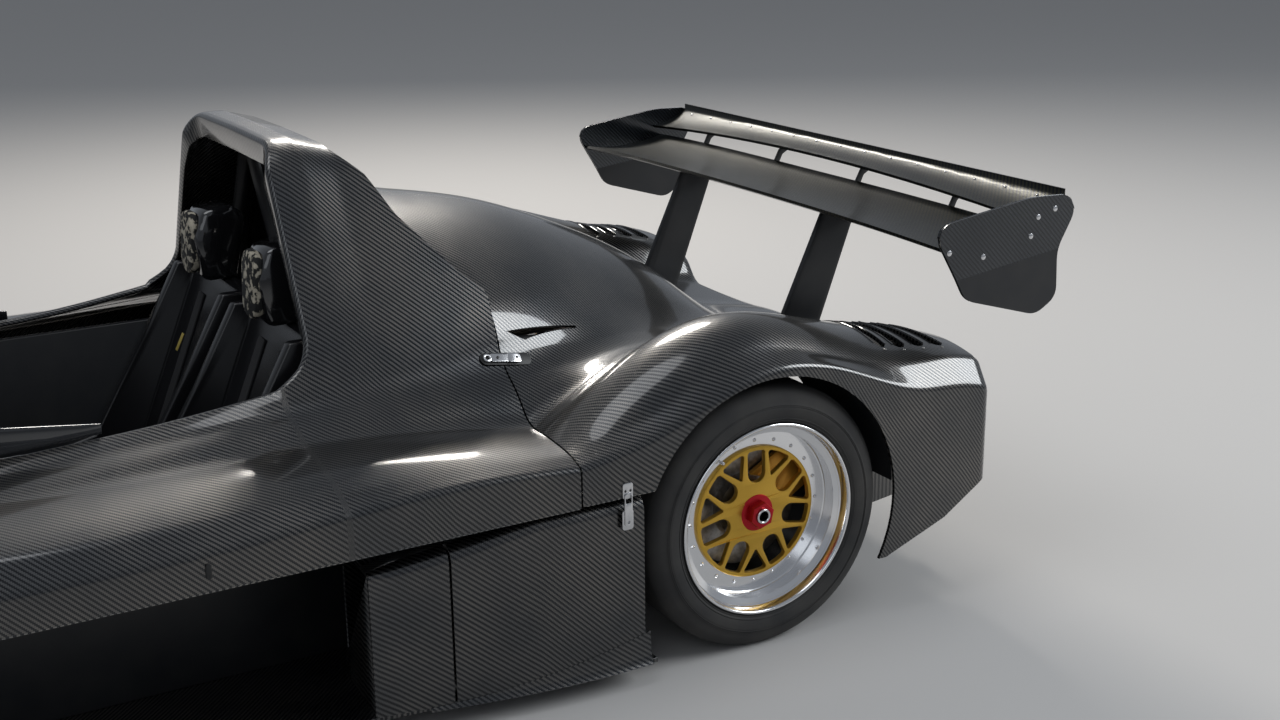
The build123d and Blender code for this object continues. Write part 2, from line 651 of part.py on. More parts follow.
rack = across(RACK_R, -260, 260, RACK_Y, RACK_Z)
for side in (-1, 1):
    eye_x = side * FRONT.kingpin_x
    rack += rod((side * 250, RACK_Y, RACK_Z), (side * (FRONT.kingpin_x - 14), RACK_Y, RACK_Z), 8)
    rack += Pos(eye_x, RACK_Y, RACK_Z) * Cylinder(STEER_EYE_R, STEER_EYE_HEIGHT)
for side in (-1, 1):
    rack -= Pos(side * FRONT.kingpin_x, RACK_Y, RACK_Z) * Cylinder(STEER_PIN_R + 6.5, 30)
tub -= block(-210, 210, RACK_Y - HOUSING_R, RACK_Y + HOUSING_R, RACK_Z - HOUSING_R, RACK_Z + HOUSING_R)

# Wind deflector strip round the front of the cockpit
DEFLECTOR_THICK = 6
DEFLECTOR_SIDE = [(-700, 560), (-110, 560), (-110, 655), (-450, 700), (-700, 700)]
deflector_half = OPENING_HALF + 2 * DEFLECTOR_THICK
deflector_outline = RectangleRounded(2 * deflector_half, 1000, 120)
deflector_outline -= RectangleRounded(2 * (deflector_half - DEFLECTOR_THICK), 1000 - 2 * DEFLECTOR_THICK, 114)
deflector = extrude(Pos(0, OPENING_FRONT_Y + 488, 560) * deflector_outline, 200)
deflector &= side_prism(DEFLECTOR_SIDE, -600, 600)
deflector -= middle_outer

# Mirrors on short stalks
MIRROR_PLACE = (640, -420, 700)
mirror_face = Plane(origin=MIRROR_PLACE, x_dir=(1, 0, 0), z_dir=(0, -1, 0)) * RectangleRounded(150, 80, 25)
mirror_one = extrude(mirror_face, 60, taper=14)
mirror_one += rod((640, -435, 570), (640, -435, 690), 9)
mirror_one -= middle_outer
mirrors = both_sides(mirror_one)


def tyre(axle):
    """A slick tyre turned about its axle, with rounded shoulders."""
    x1 = axle.face_x
    x0 = x1 - axle.tyre_w
    r = axle.tyre_r
    bead = axle.lip_r - 4
    section = make_face(
        [
            Line((x0 + 14, 0, bead), (x0, 0, bead + 35)),
            Line((x0, 0, bead + 35), (x0 + 4, 0, r - 32)),
            ThreePointArc((x0 + 4, 0, r - 32), (x0 + 14, 0, r - 12), (x0 + 34, 0, r)),
            Line((x0 + 34, 0, r), (x1 - 34, 0, r)),
            ThreePointArc((x1 - 34, 0, r), (x1 - 14, 0, r - 12), (x1 - 4, 0, r - 32)),
            Line((x1 - 4, 0, r - 32), (x1, 0, bead + 35)),
            Line((x1, 0, bead + 35), (x1 - 14, 0, bead)),
            Line((x1 - 14, 0, bead), (x0 + 14, 0, bead)),
        ]
    )
    return Pos(0, axle.y, r) * revolve(section, Axis.X)


# Windows of the wheel's centre, as shares of how far it reaches from the middle
SLOT_START = 0.45
SLOT_WIDE = 0.31
SLOT_ROUND = 0.13
WEDGE_START = 0.6
WEDGE_HALF = 0.19
WINDOW_END = 0.95


def rim(axle):
    """Stepped barrel with a recessed centre of seven forked spokes."""
    x1 = axle.face_x - 2
    x0 = axle.face_x - axle.tyre_w + 2
    lip = axle.lip_r
    well = lip - 28
    cx = axle.centre_x
    section = make_face(
        Polyline(
            (x1, 0, lip - 12),
            (x1 - 10, 0, well - 4),
            (x0 + 12, 0, well - 4),
            (x0, 0, lip - 12),
            (x0, 0, lip - 4.5),
            (x0 + 18, 0, lip - 4.5),
            (x0 + 30, 0, well),
            (x1 - 30, 0, well),
            (x1 - 18, 0, lip - 4.5),
            (x1 - 6, 0, lip - 4.5),
            (x1 - 6, 0, lip),
            (x1, 0, lip),
            close=True,
        )
    )
    barrel = revolve(section, Axis.X)
    centre = across(well, cx - CENTRE_THICK, cx, 0, 0) - across(26, cx - 20, cx + 20, 0, 0)
    reach = lip - CENTRE_INSIDE_LIP
    face = Plane(origin=(cx - 30, 0, 0), x_dir=(0, 1, 0), z_dir=(1, 0, 0))
    slot = Rectangle(SLOT_WIDE * reach, (WINDOW_END - SLOT_START) * reach)
    slot = fillet(slot.vertices().sort_by(Axis.Y)[:2], SLOT_ROUND * reach)
    slot = Pos(0, (WINDOW_END + SLOT_START) / 2 * reach) * slot
    half, base = WEDGE_HALF * reach, WINDOW_END * reach
    wedge = make_face(Polyline((0, WEDGE_START * reach), (half, base), (-half, base), close=True))
    pitch = 360 / SPOKES
    windows = []
    for i in range(SPOKES):
        windows.append(Rot(i * pitch, 0, 0) * extrude(face * slot, 60))
        windows.append(Rot((i + 0.5) * pitch, 0, 0) * extrude(face * wedge, 60))
    for window in windows:
        centre -= window
    return Pos(0, axle.y, axle.tyre_r) * (barrel + centre)


def hub(axle):
    """Brake disc, stub and hexagon centre nut that turn with the wheel."""
    cx = axle.centre_x
    z = axle.tyre_r
    disc_x = cx - DISC_FROM_CENTRE
    solid = across(25.5, cx - BEARING_FROM_CENTRE, cx + 30, axle.y, z)
    solid += across(DISC_R, disc_x, disc_x + DISC_THICK, axle.y, z)
    solid += across(55, disc_x + DISC_THICK, cx - CENTRE_THICK - 0.3, axle.y, z)
    nut = extrude(Plane(origin=(cx + 0.3, axle.y, z), z_dir=(1, 0, 0)) * RegularPolygon(36, 6), 32)
    return solid + nut - across(12, cx, cx + 60, axle.y, z)


def upright(axle):
    """Knuckle with its bearing face, caliper over the disc and, in front, its steering arm."""
    cx = axle.centre_x
    x = axle.kingpin_x
    z = axle.tyre_r
    low, high = z - KNUCKLE_HALF_HEIGHT, z + KNUCKLE_HALF_HEIGHT
    solid = block(x - KNUCKLE_HALF_WIDTH, x + KNUCKLE_HALF_WIDTH, axle.y - 30, axle.y + 30, low, high)
    solid += across(45, x - 10, cx - BEARING_FROM_CENTRE - RUNNING_GAP, axle.y, z)
    disc_x = cx - DISC_FROM_CENTRE
    reach = CALIPER_GAP + CALIPER_WALL
    caliper = across(DISC_R + 22, disc_x - reach, disc_x + DISC_THICK + reach, 0, 0)
    caliper -= across(70, disc_x - 50, disc_x + 80, 0, 0)
    caliper &= block(disc_x - 50, disc_x + 80, -60, 60, 40, 200)
    caliper -= across(DISC_R + CALIPER_GAP, disc_x - CALIPER_GAP, disc_x + DISC_THICK + CALIPER_GAP, 0, 0)
    caliper += block(x - 12, disc_x - CALIPER_GAP - 3, -22, 22, 32, 150)
    solid += Pos(0, axle.y, z) * Rot(axle.caliper_deg, 0, 0) * caliper
    if axle is FRONT:
        arm_z = RACK_Z + STEER_EYE_HEIGHT / 2 + 1.5
        solid += block(x - 12, x + 12, axle.y, axle.y + STEER_ARM + 12, arm_z, arm_z + 16)
        solid += Pos(x, RACK_Y, arm_z - 10) * Cylinder(STEER_PIN_R, 22)
    return solid


def wishbones(axle, mount_x, mount_half, upper_z, lower_z):
    """Upper and lower arms of both wheels, with their brackets and ball joint bosses."""
    x = axle.kingpin_x
    z = axle.tyre_r
    arms = []
    for side, mount_z in ((1, upper_z), (-1, lower_z)):
        ball_z = z + side * (KNUCKLE_HALF_HEIGHT + RUNNING_GAP + BOSS_HEIGHT / 2)
        arm = Pos(x, axle.y, ball_z) * Cylinder(BOSS_R, BOSS_HEIGHT)
        for y in (axle.y - mount_half, axle.y + mount_half):
            arm += block(mount_x, mount_x + BRACKET, y - 14, y + 14, mount_z - 14, mount_z + 14)
            arm += rod((mount_x + BRACKET / 2, y, mount_z), (x - BOSS_R + 6, axle.y, ball_z), ARM_R)
        arms += [arm, mirrored(arm)]
    return Compound(children=arms)


front_wishbones = wishbones(FRONT, 200, 100, 290, 150)
rear_wishbones = wishbones(REAR, 170, 100, 370, 205)

# Rear wing: dipping main plane, slotted flap, end plates and two blade posts
WingStation = namedtuple("WingStation", "x nose_y nose_z tail_y tail_z")
WING_STATIONS = [
    WingStation(-WING_HALF, 1680, 838, 1950, 854),
    WingStation(-450, 1645, 862, 1932, 868),
    WingStation(0, 1642, 866, 1930, 870),
    WingStation(450, 1645, 862, 1932, 868),
    WingStation(WING_HALF, 1680, 838, 1950, 854),
]
FLAP_STATIONS = [
    WingStation(-WING_HALF, 1926, 880, 2040, 928),
    WingStation(0, 1926, 912, 2040, 932),
    WingStation(WING_HALF, 1926, 880, 2040, 928),
]
MAIN_THICK = 24
MAIN_CAMBER = 14
FLAP_THICK = 10
FLAP_CAMBER = 6
TAB_THICK = 3
TAB_TOP_Z = 942


def wing_section(x, nose, tail, thick, camber):
    """A downforce section: blunt nose, thin tail, hollow above and full below."""
    (y0, z0), (y1, z1) = nose, tail
    chord = hypot(y1 - y0, z1 - z0)
    ny, nz = -(z1 - z0) / chord, (y1 - y0) / chord
    my, mz = y0 + 0.42 * (y1 - y0), z0 + 0.42 * (z1 - z0)
    upper = Vector(x, my - ny * camber, mz - nz * camber)
    lower = Vector(x, my - ny * (camber + thick), mz - nz * (camber + thick))
    nose_up = Vector(x, y0 + ny * 4, z0 + nz * 4)
    nose_low = Vector(x, y0 - ny * 4, z0 - nz * 4)
    tail_up = Vector(x, y1, z1)
    tail_low = Vector(x, y1 - ny * 3, z1 - nz * 3)
    edges = [
        ThreePointArc(nose_up, upper, tail_up),
        Line(tail_up, tail_low),
        ThreePointArc(tail_low, lower, nose_low),
        Line(nose_low, nose_up),
    ]
    return Face(Wire(edges))


def wing_plane(stations, thick, camber):
    """A plane of the wing, lofted from one end plate to the other."""
    return loft([wing_section(w.x, w[1:3], w[3:5], thick, camber) for w in stations])


wing_main = wing_plane(WING_STATIONS, MAIN_THICK, MAIN_CAMBER)
wing_flap = wing_plane(FLAP_STATIONS, FLAP_THICK, FLAP_CAMBER)
tab_y = FLAP_STATIONS[0].tail_y - 1
tab_low_z = FLAP_STATIONS[0].tail_z - 4
wing_flap += block(-WING_HALF, WING_HALF, tab_y, tab_y + TAB_THICK, tab_low_z, TAB_TOP_Z)
PLATE_OUTLINE = [
    (1658, 866),
    (1672, 898),
    (1931, 933),
    (2049, 929),
    (2070, 890),
    (2019, 802),
    (2025, 688),
    (1963, 652),
    (1746, 716),
    (1719, 766),
]
end_plate = side_prism(PLATE_OUTLINE, WING_HALF, WING_HALF + PLATE_THICK)
end_plate = fillet(end_plate.edges().filter_by(Axis.X), 12)
POST_SIDE = [(1520, 420), (1660, 420), (1842, 900), (1745, 900)]
post = side_prism(POST_SIDE, POST_X - POST_THICK / 2, POST_X + POST_THICK / 2)
post -= wing_main
post -= tail_outer
post = post.solids().sort_by(SortBy.VOLUME)[-1]

parts = {
    "nose_body": nose,
    "headlamp_lenses": nose_lenses,
    "cockpit_surround": middle,
    "hoop_cowl": cowl,
    "rear_body": tail,
    "floor_pan": floor_pan,
    "front_splitter": splitter,
    "diffuser": diffuser,
    "side_pods": pods,
    "chassis_tub": tub,
    "back_panel": back_panel,
    "engine_block": engine,
    "gearbox": gearbox,
    "tail_frame": tail_frame,
    "exhaust": exhaust,
    "seats": seats,
    "headrests": headrests,
    "harness": harness,
    "roll_hoop": hoop,
    "dashboard": dashboard,
    "wind_deflector": deflector,
    "mirrors": mirrors,
    "tail_lamps": tail_lamps,
    "latches": latches,
    "steering_column": steering_column,
    "steering_wheel": steering_wheel,
    "steering_rack": rack,
    "front_wishbones": front_wishbones,
    "rear_wishbones": rear_wishbones,
    "wing_main": wing_main,
    "wing_flap": wing_flap,
    "wing_end_plates": both_sides(end_plate),
    "wing_posts": both_sides(post),
}
for axle in (FRONT, REAR):
    pieces = {"tyre": tyre(axle), "rim": rim(axle), "hub": hub(axle), "upright": upright(axle)}
    for name, piece in pieces.items():
        parts[f"{name}_{axle.end}_left"] = piece
        parts[f"{name}_{axle.end}_right"] = mirrored(piece)

os.makedirs("parts", exist_ok=True)
for name, shape in parts.items():
    export_step(shape, f"parts/{name}.step")
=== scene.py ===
import json
from contextlib import contextmanager
from math import atan2, cos, hypot, pi, radians, sin, sqrt

import bmesh
import bpy
import numpy as np
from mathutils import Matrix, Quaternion, Vector
from mathutils.bvhtree import BVHTree


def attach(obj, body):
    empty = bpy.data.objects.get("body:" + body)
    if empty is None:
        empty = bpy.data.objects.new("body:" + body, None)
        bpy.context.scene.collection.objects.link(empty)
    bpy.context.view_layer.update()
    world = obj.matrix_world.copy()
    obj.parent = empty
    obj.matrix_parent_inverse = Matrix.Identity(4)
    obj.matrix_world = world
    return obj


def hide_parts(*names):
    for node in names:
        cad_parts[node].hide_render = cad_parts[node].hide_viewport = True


# Open two-seat sports prototype race car. Metres, nose towards -Y, its left side at +X, ground at Z = 0.

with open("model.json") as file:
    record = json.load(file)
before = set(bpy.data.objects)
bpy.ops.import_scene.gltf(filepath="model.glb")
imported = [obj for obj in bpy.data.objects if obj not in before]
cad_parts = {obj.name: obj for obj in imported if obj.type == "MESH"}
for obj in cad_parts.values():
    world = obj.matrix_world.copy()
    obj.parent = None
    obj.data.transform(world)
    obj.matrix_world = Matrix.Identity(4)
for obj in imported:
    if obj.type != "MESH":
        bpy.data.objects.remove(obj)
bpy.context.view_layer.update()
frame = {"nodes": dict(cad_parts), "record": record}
BODY = {node: body for body, nodes in frame["record"]["behaviour"]["bodies"].items() for node in nodes}

# Camera: off the car's left side, a little ahead of its middle and above the driver's head.
# It looks down and back, so that the rear wheel and the wing fill the right of the picture.
CAMERA_PLACE = (3.622, -0.719, 1.689)
CAMERA_YAW = radians(59.93)
CAMERA_DOWN = radians(16.92)
CAMERA_ROLL = radians(-0.62)


def add_object(name, data):
    made = bpy.data.objects.new(name, data)
    bpy.context.scene.collection.objects.link(made)
    return made


camera = add_object("camera", bpy.data.cameras.new("camera"))
camera.data.lens = 46.41
camera.data.sensor_width = 36
camera.data.clip_start = 0.05
camera.data.clip_end = 200
camera.location = CAMERA_PLACE
look = Vector((-sin(CAMERA_YAW) * cos(CAMERA_DOWN), cos(CAMERA_YAW) * cos(CAMERA_DOWN), -sin(CAMERA_DOWN)))
camera.rotation_mode = "QUATERNION"
camera.rotation_quaternion = look.to_track_quat("-Z", "Y") @ Quaternion((0, 0, 1), CAMERA_ROLL)
bpy.context.scene.camera = camera
bpy.context.scene.view_settings.view_transform = "Standard"


# Studio: a pale matt floor, a pale even world and four large soft lamps.
# The strongest lamp stands high on the far side, as the sun does in the picture.
def add_node(tree, kind, values=(), **settings):
    """A shader node with its settings, and its inputs set to values or linked to sockets."""
    made = tree.nodes.new("ShaderNode" + kind)
    for name, value in settings.items():
        setattr(made, name, value)
    for name, value in dict(values).items():
        if isinstance(value, bpy.types.NodeSocket):
            tree.links.new(value, made.inputs[name])
        else:
            made.inputs[name].default_value = value
    return made


def math_node(tree, operation, first, second=0.0):
    return add_node(tree, "Math", {0: first, 1: second}, operation=operation).outputs[0]


def noise(tree, scale, detail):
    """A cloudy value between 0 and 1 on the piece's own coordinates."""
    place = add_node(tree, "TexCoord").outputs["Object"]
    return add_node(tree, "TexNoise", {"Vector": place, "Scale": scale, "Detail": detail}).outputs["Fac"]


def ramp(tree, value, stops):
    """Colours that follow a value, given as (place, colour) pairs."""
    made = add_node(tree, "ValToRGB", {"Fac": value})
    for i, (place, colour) in enumerate(stops):
        stop = made.color_ramp.elements[i] if i < 2 else made.color_ramp.elements.new(place)
        stop.position = place
        stop.color = (*colour, 1)
    return made.outputs["Color"]


def link_bump(tree, shader, height, distance, strength, layer="Normal"):
    values = {"Height": height, "Distance": distance, "Strength": strength}
    tree.links.new(add_node(tree, "Bump", values).outputs["Normal"], shader.inputs[layer])


def new_material(name, colour, roughness, metallic=0.0, coat=0.0, tones=None, grain=None):
    """A material: tones are (scale, detail, colours), and grain is (scale, detail, depth, strength)."""
    made = bpy.data.materials.new(name)
    made.use_nodes = True
    tree, shader = made.node_tree, made.node_tree.nodes["Principled BSDF"]
    plain = {"Base Color": (*colour, 1), "Roughness": roughness, "Metallic": metallic, "Coat Weight": coat}
    for label, value in plain.items():
        shader.inputs[label].default_value = value
    if tones:
        scale, detail, stops = tones
        tree.links.new(ramp(tree, noise(tree, scale, detail), stops), shader.inputs["Base Color"])
    if grain:
        scale, detail, depth, strength = grain
        link_bump(tree, shader, noise(tree, scale, detail), depth, strength)
    return made


FLOOR_HALF = 80.0
floor_mesh = bpy.data.meshes.new("studio_floor")
floor_corners = [(x * FLOOR_HALF, y * FLOOR_HALF, 0) for x, y in ((-1, -1), (1, -1), (1, 1), (-1, 1))]
floor_mesh.from_pydata(floor_corners, [], [(0, 1, 2, 3)])
floor_mesh.materials.append(new_material("studio_floor", (0.46, 0.45, 0.44), 0.8))
add_object("studio_floor", floor_mesh)

world = bpy.data.worlds.new("studio")
bpy.context.scene.world = world
world.use_nodes = True
world.node_tree.nodes["Background"].inputs["Color"].default_value = (0.80, 0.86, 0.95, 1)
world.node_tree.nodes["Background"].inputs["Strength"].default_value = 0.30

LAMPS_AIM = Vector((0, 0.3, 0.4))
LAMPS = [
    # name, place, size, watts, colour
    ("far_lamp", (-5.0, 3.0, 5.0), 2.2, 330, (1.0, 0.95, 0.88)),
    ("rear_lamp", (4.2, 7.6, 5.0), 5.0, 480, (0.93, 0.97, 1.0)),
    ("top_lamp", (0.5, -1.0, 6.5), 4.0, 90, (0.95, 0.97, 1.0)),
    ("near_lamp", (5.5, -3.0, 4.5), 4.0, 35, (0.90, 0.95, 1.0)),
]
for name, place, size, watts, colour in LAMPS:
    lamp = add_object(name, bpy.data.lights.new(name, "AREA"))
    lamp.data.shape = "DISK"
    lamp.data.size = size
    lamp.data.energy = watts
    lamp.data.color = colour
    lamp.location = place
    lamp.rotation_mode = "QUATERNION"
    lamp.rotation_quaternion = (LAMPS_AIM - Vector(place)).to_track_quat("-Z", "Y")

# Bare carbon body: a nose, a cockpit shell with its arch, and a tail, moulded in black twill cloth.
# Each moulding runs through cross-sections, is one skin thick, and has a clear glossy coat.
MM = 0.001
SKIN = 8 * MM
TOW = 3.0 * MM
# Painted light in the cloth: the tows on top one way get a painted sheen, the others a painted bluish shade.
TOW_PAINTED_SHADE = (0.004, 0.006, 0.009)
TOW_PAINTED_SHEEN = (0.135, 0.125, 0.113)


def carbon(name, view="cloth", painted_sheen=TOW_PAINTED_SHEEN, gloss=0.09, coat=1.0):
    """Two-by-two twill: tows cross over two and under two, each stepped by one from the last. The tows on top
    one way are painted with sheen and the others with bluish shade, under cloudy patches of painted bluish
    shade.
    """
    made = new_material(name, TOW_PAINTED_SHADE, 0.34, 0.9, coat)
    tree, shader = made.node_tree, made.node_tree.nodes["Principled BSDF"]
    shader.inputs["Coat Roughness"].default_value = gloss
    if view == "cloth":
        place, axes, slant = add_node(tree, "UVMap", uv_map="cloth").outputs["UV"], "XY", "SUBTRACT"
    else:
        place, axes, slant = add_node(tree, "TexCoord").outputs["Object"], view.upper(), "ADD"
    parts = add_node(tree, "SeparateXYZ", {"Vector": place})
    warp, weft = (math_node(tree, "DIVIDE", parts.outputs[axis], TOW) for axis in axes)
    step = math_node(tree, slant, math_node(tree, "FLOOR", warp), math_node(tree, "FLOOR", weft))
    over = math_node(tree, "LESS_THAN", math_node(tree, "FLOORED_MODULO", step, 4.0), 2.0)
    tow_shape = []
    for value in (warp, weft):
        offset = math_node(tree, "SUBTRACT", math_node(tree, "FRACT", value), 0.5)
        tow_shape.append(math_node(tree, "SUBTRACT", 0.25, math_node(tree, "MULTIPLY", offset, offset)))
    height = add_node(tree, "Mix", {0: over, 2: tow_shape[1], 3: tow_shape[0]}, data_type="FLOAT").outputs[0]
    # Painted shade: cloudy patches darken the cloth and tint it blue here and there.
    painted_shade_patch = ramp(tree, noise(tree, 5.0, 4.0), [(0.35, (0.5, 0.55, 0.62)), (0.65, (1, 1, 1))])
    # The tows on top one way are painted with sheen, the others with shade.
    tows = {0: over, 6: (*TOW_PAINTED_SHADE, 1), 7: (*painted_sheen, 1)}
    painted_tow_tone = add_node(tree, "Mix", tows, data_type="RGBA").outputs[2]
    with_painted_shade = add_node(tree, "Mix", {0: 1.0, 6: painted_tow_tone, 7: painted_shade_patch}, data_type="RGBA", blend_type="MULTIPLY")
    tree.links.new(with_painted_shade.outputs[2], shader.inputs["Base Color"])
    link_bump(tree, shader, height, 0.6 * MM, 0.5)
    link_bump(tree, shader, noise(tree, 9.0, 2.0), 2 * MM, 0.12, "Coat Normal")
    return made


body_carbon = carbon("body_carbon")

# Body sections, in millimetres, each half from its crown down to its side. The columns are
# y, side, crown, base x and z, valley x and z, fender's inner x and z, crest z, crease z, flank z.
NOSE_STATIONS = [
    (-2045, 760, 170, 260, 160, 430, 152, 520, 158, 178, 165, 140),
    (-1930, 850, 262, 260, 235, 450, 222, 570, 250, 310, 285, 235),
    (-1700, 880, 345, 250, 305, 470, 285, 600, 400, 475, 440, 380),
    (-1430, 885, 405, 255, 365, 490, 345, 610, 550, 610, 570, 520),
    (-1170, 885, 470, 270, 432, 500, 415, 615, 610, 672, 640, 615),
    (-880, 885, 545, 350, 505, 530, 482, 625, 590, 640, 605, 555),
    (-617, 885, 610, 468, 590, 590, 566, 640, 572, 592, 572, 512),
]
COCKPIT_STATIONS = [
    (-623, 885, 612, 470, 592, 590, 566, 640, 572, 592, 572, 512),
    (-250, 885, 640, 497, 628, 590, 600, 640, 585, 578, 556, 509),
    (0, 885, 655, 505, 645, 590, 612, 645, 588, 576, 552, 511),
    (315, 885, 698, 525, 690, 600, 622, 650, 590, 577, 552, 531),
    (520, 885, 724, 525, 715, 600, 615, 652, 570, 566, 548, 535),
    (733, 885, 748, 500, 738, 590, 612, 655, 543, 543, 535, 520),
]
TAIL_STATIONS = [
    (727, 885, 938, 500, 738, 590, 612, 655, 543, 543, 535, 520),
    (920, 885, 898, 452, 705, 570, 625, 630, 622, 655, 592, 560),
    (1145, 885, 812, 368, 650, 520, 628, 620, 694, 733, 683, 640),
    (1370, 885, 688, 290, 585, 480, 575, 600, 660, 696, 640, 628),
    (1600, 885, 523, 200, 500, 455, 505, 530, 612, 622, 590, 540),
    (1740, 885, 491, 174, 479, 455, 487, 517, 584, 600, 584, 525),
    (1870, 885, 470, 150, 462, 452, 468, 505, 536, 560, 547, 480),
]
CREST_FROM_SIDE = 135
CREASE_FROM_SIDE = 45
ROW_STEP = 12
# Softening at the corners of a half section, and how many points each stretch between them has
CORNER_TRIMS = [60, 30, 35, 12, 12]
STRETCH_POINTS = [40, 9, 6, 14, 4, 12]
CORNER_POINTS = 6
# Rows round a moulding's end and down from it, a row of a table that stands for the others,
# and the points of a half section that lead from its middle past the cockpit's rim
EDGE_STEPS = 6
DROP_STEPS = 12
SAMPLE_ROW = 20
CROWN_POINTS = 60
RIM_COLUMN = STRETCH_POINTS[0] + CORNER_POINTS // 2
ARCH_SHOULDER_X = 296
ARCH_TRIM = 75


def station_curves(stations):
    """A function that gives the columns at any y, on natural cubic curves through the stations."""
    table = np.array(stations, float)
    y, values = table[:, 0], table[:, 1:]
    last = len(y) - 1
    gap = np.diff(y)
    system = np.eye(last + 1)
    right = np.zeros_like(values)
    for i in range(1, last):
        system[i, i - 1 : i + 2] = gap[i - 1], 2 * (gap[i - 1] + gap[i]), gap[i]
        right[i] = 6 * ((values[i + 1] - values[i]) / gap[i] - (values[i] - values[i - 1]) / gap[i - 1])
    bend = np.linalg.solve(system, right)

    def at(place):
        i = min(max(int(np.searchsorted(y, place)) - 1, 0), last - 1)
        a, b = (y[i + 1] - place) / gap[i], (place - y[i]) / gap[i]
        curve = (a**3 - a) * bend[i] + (b**3 - b) * bend[i + 1]
        return a * values[i] + b * values[i + 1] + curve * gap[i] ** 2 / 6

    return at


def arc_points(a, b, c, count=24):
    """Points from a to c on the circle through a, b and c."""
    (ax, az), (bx, bz), (cx, cz) = a, b, c
    d = 2 * (ax * (bz - cz) + bx * (cz - az) + cx * (az - bz))
    aa, bb, cc = ax * ax + az * az, bx * bx + bz * bz, cx * cx + cz * cz
    ox = (aa * (bz - cz) + bb * (cz - az) + cc * (az - bz)) / d
    oz = (aa * (cx - bx) + bb * (ax - cx) + cc * (bx - ax)) / d
    start, middle, end = (atan2(z - oz, x - ox) for x, z in (a, b, c))
    sweep = (end - start) % (2 * pi)
    if (middle - start) % (2 * pi) > sweep:
        sweep -= 2 * pi
    radius = hypot(ax - ox, az - oz)
    turns = [start + sweep * i / (count - 1) for i in range(count)]
    return [(ox + radius * cos(t), oz + radius * sin(t)) for t in turns]


def reach_along(path):
    """Distance of each point of a path from its start."""
    steps = np.linalg.norm(np.diff(np.array(path, float), axis=0), axis=1)
    return np.concatenate([[0], np.cumsum(steps)])


def walk(path, start, end, count):
    """Evenly spaced points of a path between two distances along it."""
    path = np.array(path, float)
    at = np.linspace(start, end, count)
    return np.column_stack([np.interp(at, reach_along(path), path[:, k]) for k in (0, 1)])


def soft_path(stretches, trims, counts):
    """Stretches end to end, with each corner between them rounded off over its trim."""
    lengths = [float(reach_along(s)[-1]) for s in stretches]
    trims = [min(t, 0.45 * lengths[i], 0.45 * lengths[i + 1]) for i, t in enumerate(trims)]
    trims = [0, *trims, 0]
    points = []
    for i, stretch in enumerate(stretches):
        piece = walk(stretch, trims[i], lengths[i] - trims[i + 1], counts[i])
        if i:
            corner, before, after = np.array(stretch[0]), points[-1], piece[0]
            for k in range(1, CORNER_POINTS + 1):
                t = k / (CORNER_POINTS + 1)
                points.append((1 - t) ** 2 * before + 2 * t * (1 - t) * corner + t * t * after)
        points.extend(piece)
    return np.array(points)


def half_section(row, foot_z, roof=None):
    """Half of a cross-section from the middle to the foot: crown or arch, hollow, fender and side."""
    side, crown, base_x, base_z, valley_x, valley_z, inner_x, inner_z, crest_z, crease_z, flank_z = row
    sag = 0.15 * abs(base_z - valley_z) + 3
    hollow = ((base_x + valley_x) / 2 - 0.6 * sag, (base_z + valley_z) / 2 - 0.8 * sag)
    base, valley, inner = (base_x, base_z), (valley_x, valley_z), (inner_x, inner_z)
    crease, flank = (side - CREASE_FROM_SIDE, crease_z), (side, flank_z)
    if roof is None:
        top = arc_points((-base_x, base_z), (0, crown), base, 95)[47:]
    else:
        shoulder = (ARCH_SHOULDER_X, roof)
        top = soft_path([[(0, roof + 3), shoulder], [shoulder, base]], [ARCH_TRIM], [12, 22])
    stretches = [
        top,
        arc_points(base, hollow, valley),
        [valley, inner],
        arc_points(inner, (side - CREST_FROM_SIDE, crest_z), crease),
        [crease, flank],
        [flank, (side, foot_z)],
    ]
    return soft_path(stretches, CORNER_TRIMS, STRETCH_POINTS)


def section_table(at, ys, foot_z, roof=None):
    """Half sections at places along the car, each with its points' distance along the cloth."""
    heights = [None if roof is None else float(np.interp(y, *roof)) for y in ys]
    sections = np.array([half_section(at(y), foot_z, height) for y, height in zip(ys, heights)])
    return np.array(ys, float), sections, np.array([reach_along(section) for section in sections])


def row_at(table, places):
    """One row of points and cloth coordinates, each column at its own place along the car."""
    ys, sections, reach = table
    row, marks = [], []
    for column, y in enumerate(places):
        x, z = (float(np.interp(y, ys, sections[:, column, k])) for k in (0, 1))
        row.append((x, y, z))
        marks.append((float(np.interp(y, ys, reach[:, column])), y))
    return row, marks


def plain_rows(table, ys):
    width = table[1].shape[1]
    made = [row_at(table, [y] * width) for y in ys]
    return [row for row, marks in made], [marks for row, marks in made]


